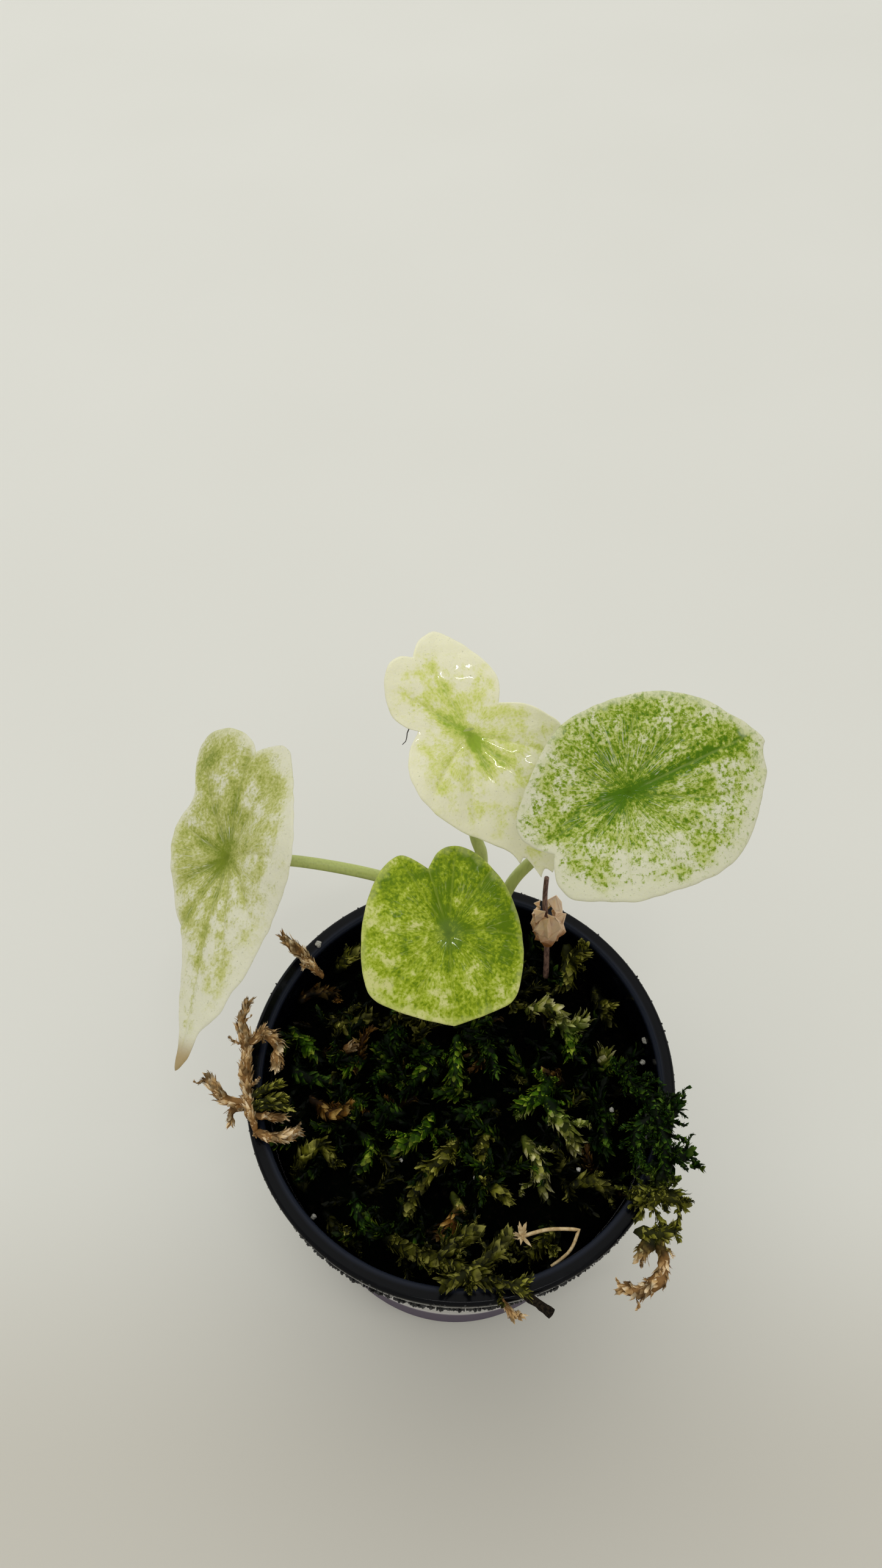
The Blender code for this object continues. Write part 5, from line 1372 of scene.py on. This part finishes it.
def moss_finish(name, kind, turn=None, shade=1.0):
    """Moss leaf: mottled along the strand and drying to a pale tip, with painted shade at its foot, deep in
    the pot and in patches.
    """
    finish, tree, shader = new_finish(name, {"Roughness": 0.5, "Specular IOR Level": 0.08})
    tone = tree.attribute("tone")
    along = tree.attribute("tip")
    place = tree.place()
    x = tree.axis(place, "X")
    y = x.beside("Y")
    patch = tree.noise(place, 3.0, 3.0, 0.6)
    foot, middle, tip = MOSS_KINDS[kind][0]
    if turn:
        _, other, starts, ends = turn
        gone = tree.step(y * -1.0 + (patch - 0.5) * 6.0, -starts, -ends)
        pairs = zip((foot, middle, tip), MOSS_KINDS[other][0])
        foot, middle, tip = (tree.blend(gone, first, second) for first, second in pairs)
    body = tree.blend(tree.step(tone * 0.45 + patch * 1.1, 0.42, 0.86), foot, middle)
    # Painted shade at the foot of each leaf
    body = tree.blend(tree.step(along, 0.0, 0.55, 0.8, 0.0), body, foot)
    dry = tree.step(along + (tone - 0.5) * 0.7 + (patch - 0.5) * 1.4, 0.55, 1.15)
    body = tree.blend(dry, body, tip)
    depth = x.beside("Z") - x * MIX_SLOPE_X - y * MIX_SLOPE_Y - MIX_LEVEL
    # Painted shade: darker towards black deep in the pot, and in patches of painted light and shade
    lit = tree.step(depth + (patch - 0.5) * 3.0, 0.8, SHADE_TOP, 0.08, 1.0)
    painted_patchy_shade = tree.step(tree.noise(place, 2.4, 2.0), 0.38, 0.60, 0.4, 1.1)
    tree.feed(shader["Base Color"], tree.blend(lit * painted_patchy_shade * shade, srgb(2, 4, 1), body))
    tree.feed(shader["Normal"], tree.bump(tree.noise(place, 0.35, 2.0), 0.06))
    return finish


shoot_set = bpy.data.collections.new("shoots")
moss_finishes = {kind: moss_finish(f"moss_leaf_{kind}", kind) for kind in MOSS_KINDS}
plain_shoot = {
    "Leaf": moss_leaf, "Radius": 1.1 * mm, "Stem share": 0.6, "Leaf pitch": 0.24 * mm,
    "Leaf length": 2.2 * mm, "Leaf width": 0.95, "Leaf lean": 0.6, "Branch pitch": 1.0, "Branch size": 0.0,
    "Lowest": -1.5, "Finish": moss_finishes["dark"],
}
for number, (length, arch) in enumerate(SHOOTS):
    bow = [(0, 0, 0), (0, 0.35 * arch, length * 0.35), (0.2 * arch, arch, length * 0.7)]
    bow.append((0.1, 0.7 * arch, length))
    settings = {**plain_shoot, "Seed": SHOOT_SEED + number}
    shoot = grow(f"shoot_{number}", polyline("shoot", [bow]), leafy_group, settings)
    bpy.context.scene.collection.objects.unlink(shoot)
    shoot_set.objects.link(shoot)

seed = STRAND_SEED
for tufts, lies_on_mix in ((STRANDS, True), (RIM_TUFTS, False)):
    for name, (kind, radius, stems) in tufts.items():
        runs = stems
        if lies_on_mix:
            seat = radius * SEAT_SHARE
            runs = [[(x, y, mix_top(x, y) + seat + lift) for x, y, lift in stem] for stem in stems]
        seed += SEED_STEP
        finish = moss_finishes[kind]
        if name in PAINTED_SHADE_TUFTS:
            finish = moss_finish(f"painted_shade_{name}", kind, shade=PAINTED_SHADE_TUFTS[name])
        if name in TURNS:
            finish = moss_finish(f"turning_{name}", TURNS[name][0], TURNS[name])
        _, leaf_length, leaf_width, leaf_pitch, leaf_lean = MOSS_KINDS[kind]
        stem_share, leaf_share = DRY.get(name, STEM_AND_LEAVES)
        leaf_length *= leaf_share
        branch_pitch, branch_size, lowest = BUSHY.get(name, BRANCHING)
        strand = grow(name.replace("moss_", "strand_"), polyline(name, runs), leafy_group, {
            "Leaf": moss_leaf, "Shoots": shoot_set, "Radius": radius * mm,
            "Stem share": stem_share, "Leaf pitch": leaf_pitch * mm, "Leaf length": leaf_length * mm,
            "Leaf width": leaf_width, "Leaf lean": leaf_lean, "Branch pitch": branch_pitch * mm,
            "Branch size": branch_size, "Lowest": lowest, "Seed": seed, "Finish": finish,
        }, sharp=80)
        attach(strand, "root")
        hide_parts(name)

# Moss mat. Between the long strands the mix is thinly covered with young shoots and scraps of moss, in drifts
# of one colour, with bare black mix left along the wall and here and there between.
MAT_RADIUS = 37.5
MAT_RINGS = 20
MAT_DRIFT = 9.0
# Painted shade that darkens the mat's shoots, as a share of full light
MAT_SHADE = 0.42
MAT_LEANS = (1.05, 1.5)
MAT_SIZES = (0.6, 1.1)
# The closed ground that carries it is this high at its lower and its upper pole
MAT_POLES = (70, 74)
# Shoots on a square millimetre, how much of the mix stays free of them, and the seed
MATS = {
    "dark": (0.066, 0.50, 1),
    "green": (0.06, 0.55, 2),
    "olive": (0.06, 0.57, 3),
    "brown": (0.035, 0.60, 4),
}
mat_group, recipe, given = new_recipe("moss_mat", {
    "Shoots": "Collection", "Density": "Float", "Drift": "Float", "Reach": "Float", "Seed": "Int",
})
where = recipe.node("GeometryNodeInputPosition")
drift_place = recipe.scaled(where, 1000.0 / MAT_DRIFT)
drift = recipe.node("ShaderNodeTexNoise", {"noise_dimensions": "4D"}, {
    "Vector": drift_place, "W": given["Seed"] * 3.7, "Scale": 1.0, "Detail": 2.0,
})
away = recipe.node("ShaderNodeVectorMath", {"operation": "LENGTH"}, {
    0: recipe.stretched(where, (1, 1, 0)),
}, output="Value")
inside = recipe.step(away, given["Reach"] * 0.9, given["Reach"], 1.0, 0.0)
density = given["Density"] * recipe.step(drift, given["Drift"] - 0.04, given["Drift"] + 0.04) * inside
spots = recipe.node("GeometryNodeDistributePointsOnFaces", None, {
    0: given["Geometry"], "Density": density, "Seed": given["Seed"],
})
shoots = all_shoots(recipe, given)
heading = random_number(recipe, 0.0, FULL_TURN, given["Seed"] + 11)
turned = spun(recipe, spots.beside("Rotation"), (0, 0, 1), heading)
turned = spun(recipe, turned, (1, 0, 0), random_number(recipe, *MAT_LEANS, given["Seed"] + 12))
pick = random_shoot(recipe, given["Seed"] + 13)
mat = recipe.node("GeometryNodeInstanceOnPoints", None, {
    "Points": spots, "Instance": shoots, "Pick Instance": True, "Instance Index": pick, "Rotation": turned,
    "Scale": random_number(recipe, *MAT_SIZES, given["Seed"] + 14),
})
end_recipe(recipe, mat, given["Finish"])

for kind, (density, drift, seed) in MATS.items():
    rings = [mix_ring(MAT_RADIUS * share / MAT_RINGS) for share in range(MAT_RINGS, 0, -1)]
    ground = ring_mesh("ground", rings, (0, 0, MAT_POLES[0]), (0, 0, MAT_POLES[1]))
    mat = grow(f"mat_{kind}", ground, mat_group, {
        "Shoots": shoot_set, "Density": density * 1e6, "Drift": drift, "Reach": MAT_RADIUS * mm, "Seed": seed,
        "Finish": moss_finish(f"mat_{kind}", kind, shade=MAT_SHADE),
    }, sharp=80)
    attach(mat, "root")

# Moss fingers. Thin young stems of the same moss, closely leaved: a dry scrap that hangs from the twig over
# the outside of the rim, one that lies over the twig, and a fan of them from the foot of the left tuft.
FINGER_LEAF_PITCH = 0.14
FINGER_LEAF_LENGTH = 1.8
FINGER_LEAF_WIDTH = 0.65
FINGER_LEAF_LEAN = 0.25
FINGER_STEM_SHARE = 0.9
# Each one's colour, stem radius and stems
FINGERS = {
    "moss_scrap": ("tan", 0.6, [
        ((7.6, -43.6, 84.2), (9.0, -46.0, 82.6), (9.8, -46.4, 79.6)),
        ((9.0, -46.0, 82.6), (11.6, -46.2, 80.6)),
    ]),
    "moss_on_twig": ("olive", 1.0, [
        ((6.5, -41.0, 85.2), (9.5, -42.2, 86.0), (12.6, -43.4, 85.4)),
        ((9.5, -42.2, 86.0), (12.4, -40.6, 85.6)),
    ]),
    "moss_fan_olive": ("olive", 0.85, [
        ((-43.4, -7.0, 84.6), (-39.8, -4.8, 84.8), (-37.3, -3.1, 83.0)),
        ((-43.2, -8.6, 84.8), (-39.0, -7.1, 85.2), (-35.9, -6.6, 83.4)),
        ((-42.8, -9.4, 84.6), (-38.4, -8.5, 84.6), (-34.8, -8.4, 82.6)),
    ]),
    "moss_fan_tan": ("tan", 0.85, [
        ((-42.6, -10.3, 84.2), (-38.8, -10.6, 84.2), (-35.7, -10.4, 82.6)),
        ((-43.4, -9.0, 84.4), (-46.5, -9.6, 84.6), (-47.0, -11.6, 83.2)),
    ]),
}
for number, (name, (kind, radius, stems)) in enumerate(FINGERS.items()):
    finger = grow(name, polyline(name, stems), leafy_group, {
        **plain_shoot, "Radius": radius * mm, "Stem share": FINGER_STEM_SHARE,
        "Leaf pitch": FINGER_LEAF_PITCH * mm, "Leaf length": FINGER_LEAF_LENGTH * mm,
        "Leaf width": FINGER_LEAF_WIDTH, "Leaf lean": FINGER_LEAF_LEAN,
        "Seed": FINGER_SEED + number * SEED_STEP, "Finish": moss_finishes[kind],
    }, sharp=80)
    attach(finger, "root")

for shoot in list(shoot_set.objects):
    bpy.data.objects.remove(shoot)
bpy.data.objects.remove(moss_leaf)

# Perlite. A few grains of this white popped volcanic glass are mixed in to keep the mix open, and some have
# come to lie loose along the right of the pot and in the moss.
PERLITE_BULGE = 0.5
# Each grain's middle and radius
PERLITE = (
    (40.6, 9.0, 77.2, 0.85), (39.6, 4.4, 76.4, 0.55), (-29.6, -27.5, 73.6, 0.5), (-12.2, -16.5, 75.0, 0.4),
    (-32.0, 28.8, 82.2, 0.7), (31.5, -7.0, 79.6, 0.5), (3.0, -20.0, 75.4, 0.4), (24.5, -18.0, 75.0, 0.4),
)
perlite_finish, tree, shader = new_finish("perlite", {"Roughness": 0.85})
pores = tree.noise(tree.place(), 0.3, 3.0, 0.7)
tree.feed(shader["Base Color"], tree.tones(pores, 0.35, 0.6, (110, 108, 100), (192, 190, 182)))
tree.feed(shader["Normal"], tree.bump(pores, 0.15))
grains = bmesh.new()
for x, y, z, size in PERLITE:
    made = bmesh.ops.create_icosphere(grains, subdivisions=3, radius=size)
    for vertex in made["verts"]:
        bulge = 1 + PERLITE_BULGE * noise.fractal(vertex.co / size + Vector((x, y, z)), 0.8, 2.0, 3)
        vertex.co = (vertex.co * bulge + Vector((x, y, z))) * mm
perlite_mesh = bpy.data.meshes.new("perlite")
grains.to_mesh(perlite_mesh)
grains.free()
perlite_mesh.shade_smooth()
perlite_mesh.materials.append(perlite_finish)
perlite = new_object("perlite", perlite_mesh)
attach(perlite, "root")

# Twig and straw. A snapped dark twig is caught in the moss over the front of the rim, and beside it lies a
# dry pale stem, bent double, with the husks of its seed head.
TWIG_ROUTE = ((8.8, -41.2, 84.6), (13.2, -43.8, 83.6), (17.0, -46.2, 83.0))
TWIG_RADII = (0.7, 0.95)
# How far the bark's lumps stand out, and how many fit in a metre
TWIG_LUMPS = 0.2
TWIG_LUMP_PITCH = 900
STRAW_RADIUS = 0.38
STRAW_TAPER = 0.8
STRAW_ARM = ((12.0, -32.0, 79.2), (17.0, -30.8, 80.0), (22.6, -30.8, 80.4))
STRAW_BENT_ARM = ((22.9, -31.4, 80.2), (21.2, -34.6, 79.2), (17.6, -37.2, 78.4))
# The husks have a moss leaf's form, but are slimmer: their number, seed, share of width, lean and length
HUSK_COUNT = 16
HUSK_SEED = 5
HUSK_WIDTH = 0.5
HUSK_LEANS = (0.5, 1.5)
HUSK_LENGTHS = (1.4, 3.0)

twig_finish, tree, shader = new_finish("twig_bark", {"Roughness": 0.9, "Specular IOR Level": 0.1})
furrows = tree.noise(tree.stretched(tree.place(), (1.5, 1.5, 3.0)), 0.7, 4.0, 0.7)
tree.feed(shader["Base Color"], tree.tones(furrows, 0.4, 0.75, (14, 11, 8), (54, 45, 33)))
tree.feed(shader["Normal"], tree.bump(furrows, 0.25))
twig = grow("snapped_twig", polyline("twig", [TWIG_ROUTE]), stem_group, {
    "Foot radius": TWIG_RADII[0] * mm, "Top radius": TWIG_RADII[1] * mm, "Flare": 0.0, "Finish": twig_finish,
}, sharp=50)
for vertex in twig.data.vertices:
    vertex.co += noise.noise_vector(vertex.co * TWIG_LUMP_PITCH) * TWIG_LUMPS * mm
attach(twig, "root")
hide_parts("twig")

straw_finish, tree, shader = new_finish("dry_straw", {"Roughness": 0.6})
grain = tree.noise(tree.place(), 0.8, 3.0, 0.6)
tree.feed(shader["Base Color"], tree.tones(grain, 0.35, 0.7, (176, 148, 100), (210, 188, 144)))
tree.feed(shader["Normal"], tree.bump(grain, 0.04))
straw = grow("bent_straw", polyline("straw", [STRAW_ARM + STRAW_BENT_ARM]), stem_group, {
    "Foot radius": STRAW_RADIUS * mm, "Top radius": STRAW_RADIUS * STRAW_TAPER * mm, "Flare": 0.0,
    "Finish": straw_finish,
}, sharp=50)
shape = bmesh.new()
shape.from_mesh(straw.data)
draw = random.Random(HUSK_SEED)
for _ in range(HUSK_COUNT):
    turn = Matrix.Rotation(draw.uniform(0, 2 * math.pi), 3, "Z")
    turn = turn @ Matrix.Rotation(-draw.uniform(*HUSK_LEANS), 3, "X")
    length = draw.uniform(*HUSK_LENGTHS)
    husk = [Vector((point[0] * HUSK_WIDTH, point[1], point[2])) * length for point in leaf_points]
    corners = [shape.verts.new((turn @ point + Vector(STRAW_ARM[0])) * mm) for point in husk]
    for face in leaf_faces:
        shape.faces.new([corners[index] for index in face])
shape.to_mesh(straw.data)
shape.free()
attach(straw, "root")
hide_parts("straw")
